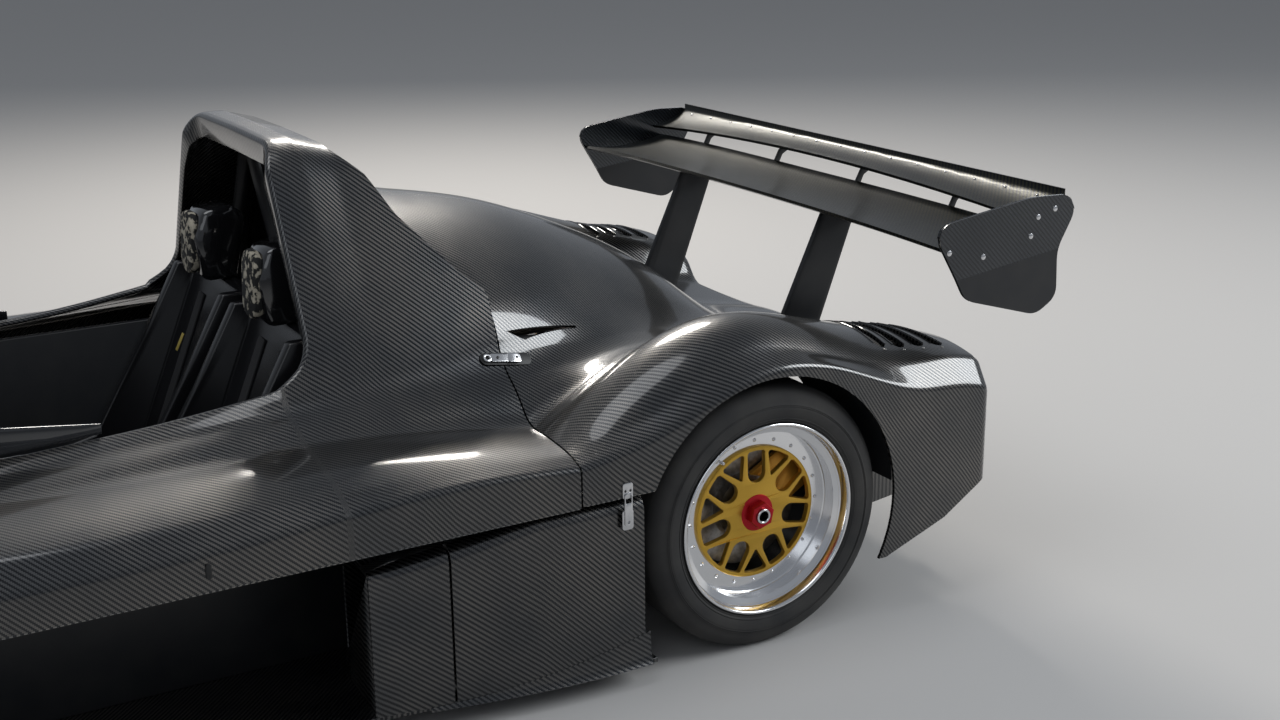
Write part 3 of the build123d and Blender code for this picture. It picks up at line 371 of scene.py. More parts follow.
def rounded_end(table, ends, radius, low_z, toward):
    """Rows that turn a sheet over its end and down to low_z: toward is 1 at the tail, -1 at the nose."""
    row, marks = row_at(table, ends)
    row, marks = np.array(row), np.array(marks)
    flow = np.gradient(row[:, [0, 2]], axis=0)
    inward = np.column_stack([flow[:, 1], -flow[:, 0]])
    inward /= np.maximum(np.hypot(*inward.T), 1e-9)[:, None]
    inward[0] = (0, -1)
    rows, cloth = [], []
    for k in range(EDGE_STEPS + 1):
        turn = pi / 2 * k / EDGE_STEPS
        moved = row.copy()
        moved[:, [0, 2]] += inward * radius * (1 - cos(turn))
        moved[:, 0] = np.maximum(moved[:, 0], 0)
        moved[:, 1] = np.array(ends) - toward * radius * (1 - sin(turn))
        rows.append([tuple(p) for p in moved])
        cloth.append([(u, v + toward * radius * (turn - 1)) for u, v in marks])
    edge = np.array(rows[-1])
    for k in range(1, DROP_STEPS + 1):
        lower = edge.copy()
        lower[:, 2] += (np.minimum(edge[:, 2], low_z) - edge[:, 2]) * k / DROP_STEPS
        rows.append([tuple(p) for p in lower])
        cloth.append([(p[0], v + q[2] - p[2]) for p, q, (u, v) in zip(lower, edge, marks)])
    return rows, cloth


@contextmanager
def reworked(mesh):
    """A mesh opened for changes and written back after them."""
    work = bmesh.new()
    work.from_mesh(mesh)
    yield work
    work.to_mesh(mesh)
    work.free()


def panel(name, rows, cloth, keep=None):
    """A sheet through rows of points, each row mirrored across the car, with its cloth coordinates."""
    half = len(rows[0])
    width = 2 * half - 1
    points, flat = [], []
    for row, marks in zip(rows, cloth):
        points += [(-x, y, z) for x, y, z in row[:0:-1]] + [tuple(p) for p in row]
        flat += [(-u, v) for u, v in marks[:0:-1]] + [tuple(m) for m in marks]
    faces = []
    for r in range(len(rows) - 1):
        for c in range(width - 1):
            column = c - half + 1 if c >= half - 1 else half - 2 - c
            if keep is None or keep(r, column):
                corner = r * width + c
                faces.append((corner, corner + 1, corner + width + 1, corner + width))
    mesh = bpy.data.meshes.new(name)
    mesh.from_pydata([(x * MM, y * MM, z * MM) for x, y, z in points], [], faces)
    layer = mesh.uv_layers.new(name="cloth")
    for loop in mesh.loops:
        u, v = flat[loop.vertex_index]
        layer.data[loop.index].uv = (u * MM, v * MM)
    with reworked(mesh) as work:
        slivers = [f for f in work.faces if f.calc_area() < 1e-9]
        bmesh.ops.delete(work, geom=slivers, context="FACES")
        bmesh.ops.remove_doubles(work, verts=work.verts, dist=0.05 * MM)
        bmesh.ops.delete(work, geom=[v for v in work.verts if not v.link_faces], context="VERTS")
        work.normal_update()
        if sum(f.normal.z * f.calc_area() for f in work.faces) < 0:
            bmesh.ops.reverse_faces(work, faces=work.faces)
    return add_object(name, mesh)


def circle(a, b, radius, count=72):
    turns = [2 * pi * i / count for i in range(count)]
    return [(a + radius * cos(t), b + radius * sin(t)) for t in turns]


def within(outline, a, b):
    """True if a point lies inside an outline."""
    inside = False
    for (a0, b0), (a1, b1) in zip(outline, outline[1:] + outline[:1]):
        if (b0 > b) != (b1 > b) and a < (a1 - a0) * (b - b0) / (b1 - b0) + a0:
            inside = not inside
    return inside


def cut_away(sheet, outline, view, reached):
    """Cuts a sheet along an outline, seen in the view's two axes, and takes away what is inside it."""
    first, second = ("xyz".index(axis) for axis in view)
    outline = [(a * MM, b * MM) for a, b in outline]
    margin = 0.1 * MM

    def overlaps(face, corners):
        for k, axis in enumerate((first, second)):
            spread, marks = [v.co[axis] for v in face.verts], [c[k] for c in corners]
            if max(spread) < min(marks) - margin or min(spread) > max(marks) + margin:
                return False
        return True

    with reworked(sheet.data) as work:
        region = {f for f in work.faces if overlaps(f, outline) and reached(f.calc_center_median())}
        for start, end in zip(outline, outline[1:] + outline[:1]):
            near = [f for f in region if overlaps(f, (start, end))]
            if near:
                place, across = Vector((0, 0, 0)), Vector((0, 0, 0))
                place[first], place[second] = start
                across[first], across[second] = end[1] - start[1], start[0] - end[0]
                geometry = list({v for f in near for v in f.verts}) + list({e for f in near for e in f.edges})
                plane = {"dist": 0.02 * MM, "plane_co": place, "plane_no": across}
                cut = bmesh.ops.bisect_plane(work, geom=geometry + near, **plane)
                region |= {g for g in cut["geom"] if isinstance(g, bmesh.types.BMFace)}
        centres = {face: face.calc_center_median() for face in region}
        gone = [face for face, centre in centres.items() if within(outline, centre[first], centre[second])]
        bmesh.ops.delete(work, geom=gone, context="FACES")


def applied(piece):
    """The piece with its modifiers made part of its mesh."""
    graph = bpy.context.evaluated_depsgraph_get()
    shaped = piece.evaluated_get(graph)
    mesh = bpy.data.meshes.new_from_object(shaped, preserve_all_data_layers=True, depsgraph=graph)
    piece.modifiers.clear()
    old = piece.data
    piece.data = mesh
    bpy.data.meshes.remove(old)
    return piece


def smooth(piece, angle=32.0):
    """Smooth shading, with the edges that turn more than the angle left sharp."""
    piece.data.shade_smooth()
    piece.data.set_sharp_from_angle(angle=radians(angle))


def as_object(name, work, angle):
    """A working mesh made into a smooth object."""
    mesh = bpy.data.meshes.new(name)
    work.to_mesh(mesh)
    work.free()
    made = add_object(name, mesh)
    smooth(made, angle)
    return made


def surface_of(piece):
    """A piece's surface, for others to be laid on."""
    return BVHTree.FromObject(piece, bpy.context.evaluated_depsgraph_get())


def finish(piece, material, body):
    """Gives a made piece its material and its moving body."""
    piece.data.materials.clear()
    piece.data.materials.append(material)
    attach(piece, body)
    return piece


def walled(piece, thickness=SKIN):
    """A sheet given its thickness on the inside."""
    wall = piece.modifiers.new("wall", "SOLIDIFY")
    wall.thickness = thickness
    wall.offset = -1
    wall.use_even_offset = False
    applied(piece)
    smooth(piece)


def steps_between(start, end, step=ROW_STEP):
    count = max(2, round(abs(end - start) / step) + 1)
    return list(np.linspace(start, end, count))


def joined_lip(name, sheet, path, outward, radius, widths, roll):
    """A lip swept along a sheet's edge: it rounds over, runs inwards as a flange and ends in a roll."""
    surface = surface_of(sheet)
    path = np.array(path, float)
    path = np.vstack([path[:0:-1] * (-1, 1, 1), path])
    widths = np.concatenate([widths[:0:-1], widths])
    found = np.array([surface.find_nearest(Vector(p) * MM)[1] for p in path])
    normals, flow = found.copy(), np.gradient(path, axis=0)
    for line in (normals, flow):
        for _ in range(10):
            line[1:-1] = (line[:-2] + 2 * line[1:-1] + line[2:]) / 4
    flow /= np.linalg.norm(flow, axis=1)[:, None]
    aside = np.cross(flow, normals)
    aside /= np.linalg.norm(aside, axis=1)[:, None]
    normals = np.cross(aside, flow)
    aside *= np.sign(np.sum(aside * np.array([outward(*p) for p in path]), axis=1))[:, None]
    normals *= np.sign(np.sum(normals * found, axis=1))[:, None]
    rings = []
    for place, side, up, width in zip(path, aside, normals, widths):
        profile = [(radius * sin(pi / 2 * k / 5), radius * (1 - cos(pi / 2 * k / 5))) for k in range(6)]
        for k in range(1, 10):
            turn = pi * k / 9
            profile.append((radius - roll + roll * cos(turn), radius + width + roll * sin(turn)))
        profile += [(radius - 2 * roll, radius * 0.6 + 2), (-2.0, 4.0)]
        rings.append([place + side * s - up * d for s, d in profile])
    count, reach = len(rings[0]), reach_along(path)
    made = bmesh.new()
    layer = made.loops.layers.uv.new("cloth")
    grid = [[made.verts.new(Vector(p) * MM) for p in ring] for ring in rings]
    for i in range(len(rings) - 1):
        for k in range(count):
            corners = ((i, k), (i, k + 1), (i + 1, k + 1), (i + 1, k))
            face = made.faces.new([grid[row][column % count] for row, column in corners])
            for loop, (row, column) in zip(face.loops, corners):
                loop[layer].uv = (column * 4 * MM, reach[row] * MM)
    made.faces.new(grid[0][::-1])
    made.faces.new(grid[-1])
    bmesh.ops.recalc_face_normals(made, faces=made.faces)
    return as_object(name, made, 50)


# Cockpit shell: the deck round the opening and the sloping arch over both seats, as one sheet.
# Its opening and the arch's front edge have a rolled lip, laid up with the shell.
ARCH_FRONT_Y = 315
ARCH_TOP_Z = 1085
ARCH_TOP_SETBACK = 20
ARCH_ROOF = [(300, 345, 385, 455, 800), (1124, 1131, 1131, 1112, 1112)]
ARCH_BACK = [(455, 1120), (470, 1100), (517, 1045), (562, 951), (630, 858), (672, 800)]
ARCH_BACK += [(726, 742), (726, 700)]
ARCH_ROWS = 44
ROOF_COLUMNS = 12
RIM_BEND_Y = 245
RIM_BEND_Z = (692, 770)
DECK_END_Y = -380
SEAM_FRONT_Y = -614
SEAM_BACK_Y = 726
SHELL_FOOT_Z = 436
OPENING_CORNER_R = 110
LIP_R = 9
LIP_ROLL = 5
LIP_WIDTHS = [(690, 780, 1000, 1100), (3, 14, 20, 44)]


def arch_span(z, on_roof):
    """Where the arch starts and ends along the car, at a height on its side."""
    front = ARCH_FRONT_Y
    low, high = RIM_BEND_Z
    if z < high:
        part = min(1.0, (high - z) / (high - low))
        front -= (ARCH_FRONT_Y - RIM_BEND_Y) * (1 - sqrt(max(0.0, 1 - part**2)))
    if on_roof or z > ARCH_TOP_Z:
        front = ARCH_FRONT_Y + ARCH_TOP_SETBACK * min(1.0, max(0.0, (z - ARCH_TOP_Z) / 40))
    places, heights = zip(*ARCH_BACK[::-1])
    return front, float(np.interp(z, heights, places))


cockpit_at = station_curves(COCKPIT_STATIONS)
deck_ys = steps_between(SEAM_FRONT_Y, RIM_BEND_Y - ROW_STEP)
deck_table = section_table(cockpit_at, deck_ys + [RIM_BEND_Y], SHELL_FOOT_Z)
rows, cloth = plain_rows(deck_table, deck_ys)
arch_ys = np.arange(RIM_BEND_Y - 6, SEAM_BACK_Y + 6, 4.0)
arch_table = section_table(cockpit_at, arch_ys, SHELL_FOOT_Z, ARCH_ROOF)
spans = []
for column in range(arch_table[1].shape[1]):
    if column < RIM_COLUMN:
        spans.append(arch_span(arch_table[1][SAMPLE_ROW, column, 1], column < ROOF_COLUMNS))
    else:
        spans.append((RIM_BEND_Y, SEAM_BACK_Y))
for r in range(ARCH_ROWS + 1):
    row, marks = row_at(arch_table, [front + (back - front) * r / ARCH_ROWS for front, back in spans])
    rows.append(row)
    cloth.append(marks)


def shell_keeps(r, column):
    """Behind the deck's front strip the sheet leaves the cockpit open, as far as the arch."""
    return r >= len(deck_ys) or column >= RIM_COLUMN or deck_ys[r] < DECK_END_Y + OPENING_CORNER_R


cockpit_shell = panel("cockpit_shell", rows, cloth, shell_keeps)
opening_half = deck_table[1][SAMPLE_ROW, RIM_COLUMN, 0] + 2
corner_x, corner_y = opening_half - OPENING_CORNER_R, DECK_END_Y + OPENING_CORNER_R
corner = circle(corner_x, corner_y, OPENING_CORNER_R, 48)[36:] + [(opening_half, corner_y)]
opening = corner + [(opening_half, corner_y + 60), (-opening_half, corner_y + 60)]
opening += [(-x, y) for x, y in corner[::-1]]
cut_away(cockpit_shell, opening, "xy", lambda place: place.y < 0 and abs(place.x) < (opening_half + 30) * MM)

arch_foot = len(deck_ys)
rim_path = [rows[arch_foot][column] for column in range(RIM_COLUMN + 1)]
rim_path += [rows[r][RIM_COLUMN] for r in range(arch_foot - 1, -1, -1) if deck_ys[r] > corner_y + 6]
for x, y in corner[::-1] + [(corner_x * (1 - i / 30), DECK_END_Y) for i in range(1, 31)]:
    section = half_section(cockpit_at(y), SHELL_FOOT_Z)[:CROWN_POINTS]
    rim_path.append((x, y, float(np.interp(x, section[:, 0], section[:, 1]))))
rim_heights = [z if y > RIM_BEND_Y - 5 else 0 for x, y, z in rim_path]
rim_widths = np.interp(rim_heights, *LIP_WIDTHS)


def into_cockpit(x, y, z):
    """The way a rim's edge faces: forwards on the arch, and to the opening's middle on the deck."""
    return np.array((-x * 0.5, 60 - y, 0) if y < RIM_BEND_Y - 10 else (-x * 0.2, -400, 0))


lip_shape = (into_cockpit, LIP_R, rim_widths, LIP_ROLL)
cockpit_lip = joined_lip("cockpit_lip", cockpit_shell, rim_path, *lip_shape)
walled(cockpit_shell)
for piece in (cockpit_shell, cockpit_lip):
    finish(piece, body_carbon, "chassis")
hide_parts("cockpit_surround", "hoop_cowl")

# Tail moulding: the engine hump with its tongue under the arch, the rear fenders and the bowed end.
# It has round wheel openings, an open mouth at the rear and its foot cut up towards the end.
TAIL_START_Y = 730
TONGUE_START_Y = 560
TONGUE_COLUMN = 36
HUMP_RISE = 0.2
TAIL_BEND_Y = 1650
TAIL_BEND_STEPS = 16
TAIL_END_Y = 1862
TAIL_BOW_R = 6900
TAIL_EDGE_R = 22
TAIL_EDGE_Z = 290
TAIL_FOOT_Z = 150
TAIL_FOOT = [(1400, 100), (1510, 150), (1680, 213), (1783, 279), (1900, 330), (1900, 100)]
TAIL_MOUTH = [(-560, 200), (560, 200), (560, 420), (540, 440), (-540, 440), (-560, 420)]
FLANK_CUT = [(700, 100), (1050, 100), (1050, 439), (700, 439)]
REAR_AXLE = (1200, 302.5)
REAR_OPENING_R = 329.5
LOUVRE_X = 675
LOUVRE_FIRST_Y = 1560
LOUVRE_PITCH = 56
LOUVRE_COUNT = 4
LOUVRE_LONG = 220
LOUVRE_WIDE = 30
LOUVRE_CORNER = 8
DUCT_MOUTH = [(499, 754), (503, 797), (463, 946), (458, 948)]

tail_at = station_curves(TAIL_STATIONS)


def hump_at(y):
    """The tail's columns, with the hump carried on forwards and upwards ahead of its first section."""
    first_y = TAIL_STATIONS[0][0]
    columns = tail_at(max(y, first_y))
    columns[1] += HUMP_RISE * max(0.0, first_y - y)
    return columns


tongue_ys = steps_between(TONGUE_START_Y, TAIL_START_Y)
tail_ys = tongue_ys + steps_between(TAIL_START_Y, TAIL_BEND_Y)[1:]
tail_table = section_table(hump_at, steps_between(TONGUE_START_Y - 6, 1870, 6), TAIL_FOOT_Z)
rows, cloth = plain_rows(tail_table, tail_ys)
columns = range(len(rows[0]))
end_widths = [float(np.interp(TAIL_END_Y, tail_table[0], tail_table[1][:, c, 0])) for c in columns]
tail_ends = [TAIL_END_Y - TAIL_BOW_R + sqrt(TAIL_BOW_R**2 - x * x) for x in end_widths]
for k in range(1, TAIL_BEND_STEPS + 1):
    part = k / TAIL_BEND_STEPS
    places = [TAIL_BEND_Y + (end - TAIL_EDGE_R - TAIL_BEND_Y) * part for end in tail_ends]
    row, marks = row_at(tail_table, places)
    rows.append(row)
    cloth.append(marks)
end_rows, end_cloth = rounded_end(tail_table, tail_ends, TAIL_EDGE_R, TAIL_EDGE_Z, 1)
rows += end_rows[1:]
cloth += end_cloth[1:]


def tail_keeps(r, column):
    """Ahead of the seam only the middle goes on, as the tongue under the arch."""
    return r >= len(tongue_ys) - 1 or column < TONGUE_COLUMN


def on_side(place):
    return abs(place.x) > 0.8605


tail_shell = panel("tail_shell", rows, cloth, tail_keeps)
cut_away(tail_shell, FLANK_CUT, "yz", lambda place: abs(place.x) > 0.6)
cut_away(tail_shell, circle(*REAR_AXLE, REAR_OPENING_R), "yz", on_side)
cut_away(tail_shell, TAIL_FOOT, "yz", lambda place: abs(place.x) > 0.5)
cut_away(tail_shell, TAIL_MOUTH, "xz", lambda place: place.y > 1.8)
a, b, trim = LOUVRE_LONG / 2, LOUVRE_WIDE / 2, LOUVRE_CORNER
louvre = [(-a, -b + trim), (-a + trim, -b), (a - trim, -b), (a, -b + trim)]
louvre += [(-x, -y) for x, y in louvre]
louvre_ys = [LOUVRE_FIRST_Y + i * LOUVRE_PITCH for i in range(LOUVRE_COUNT)]
for side in (1, -1):
    slots = [[(side * (LOUVRE_X + x), y + middle) for x, y in louvre] for middle in louvre_ys]
    slots.append([(side * x, y) for x, y in DUCT_MOUTH])
    for slot in slots:
        cut_away(tail_shell, slot, "xy", lambda place: place.x * side > 0.4 and place.z > 0.5)
walled(tail_shell)
finish(tail_shell, body_carbon, "rear_clam")
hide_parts("rear_body")

# Nose moulding: the low nose between two front fenders, laid up in one piece with its rounded front edge.
# Its wheel openings, lamp openings and duct mouth are cut out after moulding.
NOSE_START_Y = -2045
NOSE_END_Y = -618
NOSE_EDGE_R = 25
NOSE_FOOT_Z = 55
FRONT_AXLE = (-1170, 290)
FRONT_OPENING_R = 317
FENDER_CUT = [(-970, 40), (-600, 40), (-600, 436), (-970, 436)]
NOSE_DUCT = [(-260, 75), (260, 75), (240, 135), (-240, 135)]
LAMP_PLACE = (735, -1690)
LAMP_HALF = (75, 120)
LAMP_TURN = radians(-8)


def turned(points, angle):
    """Flat points turned about their middle."""
    c, s = cos(angle), sin(angle)
    return [(a * c - b * s, a * s + b * c) for a, b in points]


nose_ys = steps_between(NOSE_START_Y, NOSE_END_Y, 6)
nose_table = section_table(station_curves(NOSE_STATIONS), nose_ys, NOSE_FOOT_Z)
nose_ends = [NOSE_START_Y] * nose_table[1].shape[1]
end_rows, end_cloth = rounded_end(nose_table, nose_ends, NOSE_EDGE_R, NOSE_FOOT_Z, -1)
rows, cloth = plain_rows(nose_table, steps_between(NOSE_START_Y + NOSE_EDGE_R, NOSE_END_Y))
nose_shell = panel("nose_shell", end_rows[:0:-1] + rows, end_cloth[:0:-1] + cloth)
cut_away(nose_shell, circle(*FRONT_AXLE, FRONT_OPENING_R), "yz", on_side)
cut_away(nose_shell, FENDER_CUT, "yz", on_side)
lamp_oval = turned([(LAMP_HALF[0] * a, LAMP_HALF[1] * b) for a, b in circle(0, 0, 1.0, 48)], LAMP_TURN)
for side in (1, -1):
    lamp_rim = [(side * (LAMP_PLACE[0] + x), LAMP_PLACE[1] + y) for x, y in lamp_oval]
    cut_away(nose_shell, lamp_rim, "xy", lambda place: place.z > 0.3)
cut_away(nose_shell, NOSE_DUCT, "xz", lambda place: place.y < -2.0)
walled(nose_shell)
finish(nose_shell, body_carbon, "chassis")
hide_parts("nose_body")

# Wheels: slick tyres on three-piece rims, with a polished stepped lip riveted to a gold forked centre.
# A red centre nut holds each on its stub, with the steel brake disc behind it.
SIDES = ((1, "left"), (-1, "right"))
WHEELS = [
    # end, axle's y and z, tyre width, outer face x, lip radius, centre x
    ("front", FRONT_AXLE, 200, 860, 208, 790),
    ("rear", REAR_AXLE, 260, 870, 220.5, 800),
]
FORKS = 7
RIVETS = 20
LATHE_STEPS = 96
# Turned profiles as (x from the centre's face, radius)
RIVET_HEAD = [(0, 0.01), (3.2, 0.01), (2.6, 2.4), (1.2, 3.8), (0, 4.4), (-3, 4.4), (-3, 0.01)]
DISC = [(-62, 60), (-62, 139), (-61, 140), (-54, 140), (-54, 132), (-50, 132), (-50, 140), (-43, 140)]
DISC += [(-42, 139), (-42, 78), (-22, 74), (-18, 55), (-12, 52), (-12, 30), (-86, 25.5), (-86, 20), (-64, 20)]
CUP = [(-10, 25.5), (12, 25.5), (13, 34), (11, 41), (14, 43), (17, 41), (18, 33), (20, 24), (20, 16)]
CUP += [(-10, 16)]
STUB = [(-10, 12), (44, 12), (45, 13), (45, 16), (44, 17), (-10, 17)]
VALVE = [(3, 0.01), (3, 3), (29, 3), (30, 4), (39, 4), (41, 2.5), (41, 0.01)]
VALVE_TURN = 2.2
# The centre's edge inside the lip, the rivets and the valve outside that edge, the nut ahead of its face
CENTRE_INSET = 70
RIVET_RING = 16
VALVE_RING = 26
NUT_OUT = 29


def lathe(name, profile, y, z, side, steps=LATHE_STEPS):
    """A closed (x, radius) profile turned about a line across the car."""
    made = bmesh.new()
    rings = []
    for i in range(steps):
        turn = 2 * pi * i / steps
        ring = [(side * x * MM, (y + r * cos(turn)) * MM, (z + r * sin(turn)) * MM) for x, r in profile]
        rings.append([made.verts.new(p) for p in ring])
    for here, there in zip(rings, rings[1:] + rings[:1]):
        for k in range(len(profile)):
            after = (k + 1) % len(profile)
            made.faces.new((here[k], here[after], there[after], there[k]))
    bmesh.ops.recalc_face_normals(made, faces=made.faces)
    return as_object(name, made, 28)


def tyre_profile(face_x, width, radius, bead):
    """Both sidewalls with their raised rings, rounded shoulders and a flat tread."""
    shape_r = [bead, bead + 4, bead + 10, bead + 18, bead + 28, bead + 38, radius - 40, radius - 32]
    shape_in = [14, 9, 4.5, 2.2, 0.6, 0.0, 1.6, 4.0]
    wall = []
    for r in np.linspace(bead, radius - 32, 18):
        wall.append((float(np.interp(r, shape_r, shape_in)), float(r)))
    for ring_r in (bead + 9, bead + 15, bead + 42, bead + 45):
        inset = float(np.interp(ring_r, shape_r, shape_in))
        for step, lift in ((-1.1, 0), (-0.5, 1.1), (0.5, 1.1), (1.1, 0)):
            wall.append((inset - lift, ring_r + step))
    wall.sort(key=lambda p: p[1])
    wall += arc_points((4, radius - 32), (14, radius - 12), (34, radius), 9)[1:]
    outer = [(face_x - inset, r) for inset, r in wall]
    inner = [(face_x - width + inset, r) for inset, r in wall]
    return outer + inner[::-1]


def lip_profile(face_x, width, lip, centre_x):
    """The polished lip with its rolled edge and steps, the flange for the rivets, and the barrel."""
    x1, x0 = face_x - 2, face_x - width + 2
    edge = [(x1 - 4 + 4 * cos(t), lip - 4 + 4 * sin(t)) for t in np.linspace(pi / 2, -pi / 3, 7)]
    dish = [(-8, 10), (-22, 13), (-24, 17), (-38, 20), (-40, 24)]
    flange = [(5, 28), (3, 31), (3, 72), (-5, 72), (-5, 33)]
    back = [(12, 32), (0, 12), (0, 4.5), (18, 4.5), (30, 28)]
    well = [(-30, 28), (-18, 4.5), (-7, 4.5)]
    for start, stretch in ((x1, dish), (centre_x, flange), (x0, back), (x1, well)):
        edge += [(start + x, lip - depth) for x, depth in stretch]
    return edge


def curve_mesh(name, dimensions, loops, **settings):
    """A curve through points in millimetres, closed where it is flat, made into a plain mesh."""
    curve = bpy.data.curves.new(name, "CURVE")
    curve.dimensions = dimensions
    for label, value in settings.items():
        setattr(curve, label, value)
    for points in loops:
        spline = curve.splines.new("POLY")
        spline.points.add(len(points) - 1)
        for point, place in zip(spline.points, points):
            x, y, z = (*place, 0)[:3]
            point.co = (x * MM, y * MM, z * MM, 1)
        spline.use_cyclic_u = dimensions == "2D"
    drawn = add_object(name, curve)
    graph = bpy.context.evaluated_depsgraph_get()
    mesh = bpy.data.meshes.new_from_object(drawn.evaluated_get(graph), depsgraph=graph)
    bpy.data.objects.remove(drawn)
    bpy.data.curves.remove(curve)
    made = add_object(name, mesh)
    smooth(made, 40)
    return made


def moved_mesh(piece, change):
    """Puts every vertex where the function says and points the faces outwards again."""
    with reworked(piece.data) as work:
        bmesh.ops.remove_doubles(work, verts=work.verts, dist=0.01 * MM)
        for v in work.verts:
            v.co = change(v.co)
        bmesh.ops.recalc_face_normals(work, faces=work.faces)
    return piece


def plate(name, loops, thick, bevel, change):
    """A flat plate, its first loop outside and the others holes, put in place by a function."""
    depth = {"extrude": (thick / 2 - bevel) * MM, "bevel_depth": bevel * MM, "offset": -bevel * MM}
    made = moved_mesh(curve_mesh(name, "2D", loops, fill_mode="BOTH", bevel_resolution=1, **depth), change)
    smooth(made, 30)
    return made


def sideways(middle, side):
    """Stands a flat plate up to face the car's side, with its origin at the middle."""
    return lambda co: middle + Vector((side * co.z, co.x, co.y))


def fork_loops(reach):
    """The gold centre seen from the side: its rim, the stub's hole, and seven pairs of windows."""
    loops = [circle(0, 0, reach + 2, 84), circle(0, 0, 26, 32)]
    half, low, high, trim = 0.15 * reach, 0.47 * reach, 0.945 * reach, 0.03 * reach
    slot = [(half, high - trim), (half - trim, high), (0, high + 0.008 * reach)]
    slot += [(-half + trim, high), (-half, high - trim)]
    slot += [(-half * cos(pi * k / 12), low + half - half * sin(pi * k / 12)) for k in range(13)]
    wedge = [(0.012 * reach, 0.6 * reach), (0.19 * reach, 0.89 * reach), (0.185 * reach, 0.925 * reach)]
    wedge += [(0.16 * reach, 0.94 * reach), (0, 0.955 * reach)]
    wedge += [(-a, b) for a, b in wedge[3::-1]]
    for i in range(FORKS):
        loops.append(turned(slot, 2 * pi / FORKS * i))
        loops.append(turned(wedge, 2 * pi / FORKS * (i + 0.5)))
    return loops


def node_group():
    """Nodes that set a copy of a piece on every point, as real geometry in one finish."""
    group = bpy.data.node_groups.new("copies_at_points", "GeometryNodeTree")
    for label, kind in (("Points", "Geometry"), ("Piece", "Object"), ("Finish", "Material")):
        group.interface.new_socket(label, in_out="INPUT", socket_type="NodeSocket" + kind)
    group.interface.new_socket("Geometry", in_out="OUTPUT", socket_type="NodeSocketGeometry")
    kinds = ["NodeGroupInput", "GeometryNodeObjectInfo", "GeometryNodeInstanceOnPoints"]
    kinds += ["GeometryNodeRealizeInstances", "GeometryNodeSetMaterial", "NodeGroupOutput"]
    given, info, instance, real, paint, result = (group.nodes.new(kind) for kind in kinds)
    wires = [(given, "Points", instance, "Points"), (given, "Piece", info, "Object")]
    wires += [(info, "Geometry", instance, "Instance"), (instance, "Instances", real, "Geometry")]
    wires += [(real, "Geometry", paint, "Geometry"), (given, "Finish", paint, "Material")]
    wires += [(paint, "Geometry", result, "Geometry")]
    for start, output, end, entry in wires:
        group.links.new(start.outputs[output], end.inputs[entry])
    return group


copies_at_points = node_group()


def repeated(name, places, source, material):
    """Copies of a small piece at every place, made by the node group and kept as a plain mesh."""
    holder = bpy.data.meshes.new(name)
    holder.from_pydata([Vector(p) * MM for p in places], [], [])
    made = add_object(name, holder)
    copies = made.modifiers.new("copies", "NODES")
    copies.node_group = copies_at_points
    sockets = {item.name: item.identifier for item in copies_at_points.interface.items_tree}
    copies[sockets["Piece"]] = source
    copies[sockets["Finish"]] = material
    applied(made)
    bpy.data.objects.remove(source)
    smooth(made, 40)
    return made


gold = new_material("gold_centre", (0.60, 0.36, 0.055), 0.34, 0.85)
polished = new_material("polished_lip", (0.80, 0.80, 0.81), 0.16, 1.0)
red = new_material("red_anodised", (0.42, 0.012, 0.02), 0.28, 0.75)
bright = new_material("bright_steel", (0.66, 0.66, 0.67), 0.22, 1.0)
STREAKS = (90.0, 2.0, [(0.3, (0.22, 0.21, 0.20)), (0.7, (0.38, 0.37, 0.36))])
disc_steel = new_material("disc_steel", (0.30, 0.29, 0.28), 0.35, 1.0, tones=STREAKS)
DUST = (7.0, 6.0, [(0.35, (0.012, 0.012, 0.013)), (0.75, (0.045, 0.042, 0.038))])
WORN = (260.0, 3.0, 0.4 * MM, 0.3)
rubber = new_material("slick_rubber", (0.02, 0.02, 0.021), 0.78, tones=DUST, grain=WORN)
HUB_PARTS = [("disc", DISC, disc_steel, LATHE_STEPS), ("cup", CUP, red, LATHE_STEPS)]
HUB_PARTS += [("stub", STUB, bright, 40)]
# The nut's outline and hole, thickness and bevel
NUT = ([turned(circle(0, 0, 31, 6), 0.3), circle(0, 0, 17, 24)], 22, 2.0)

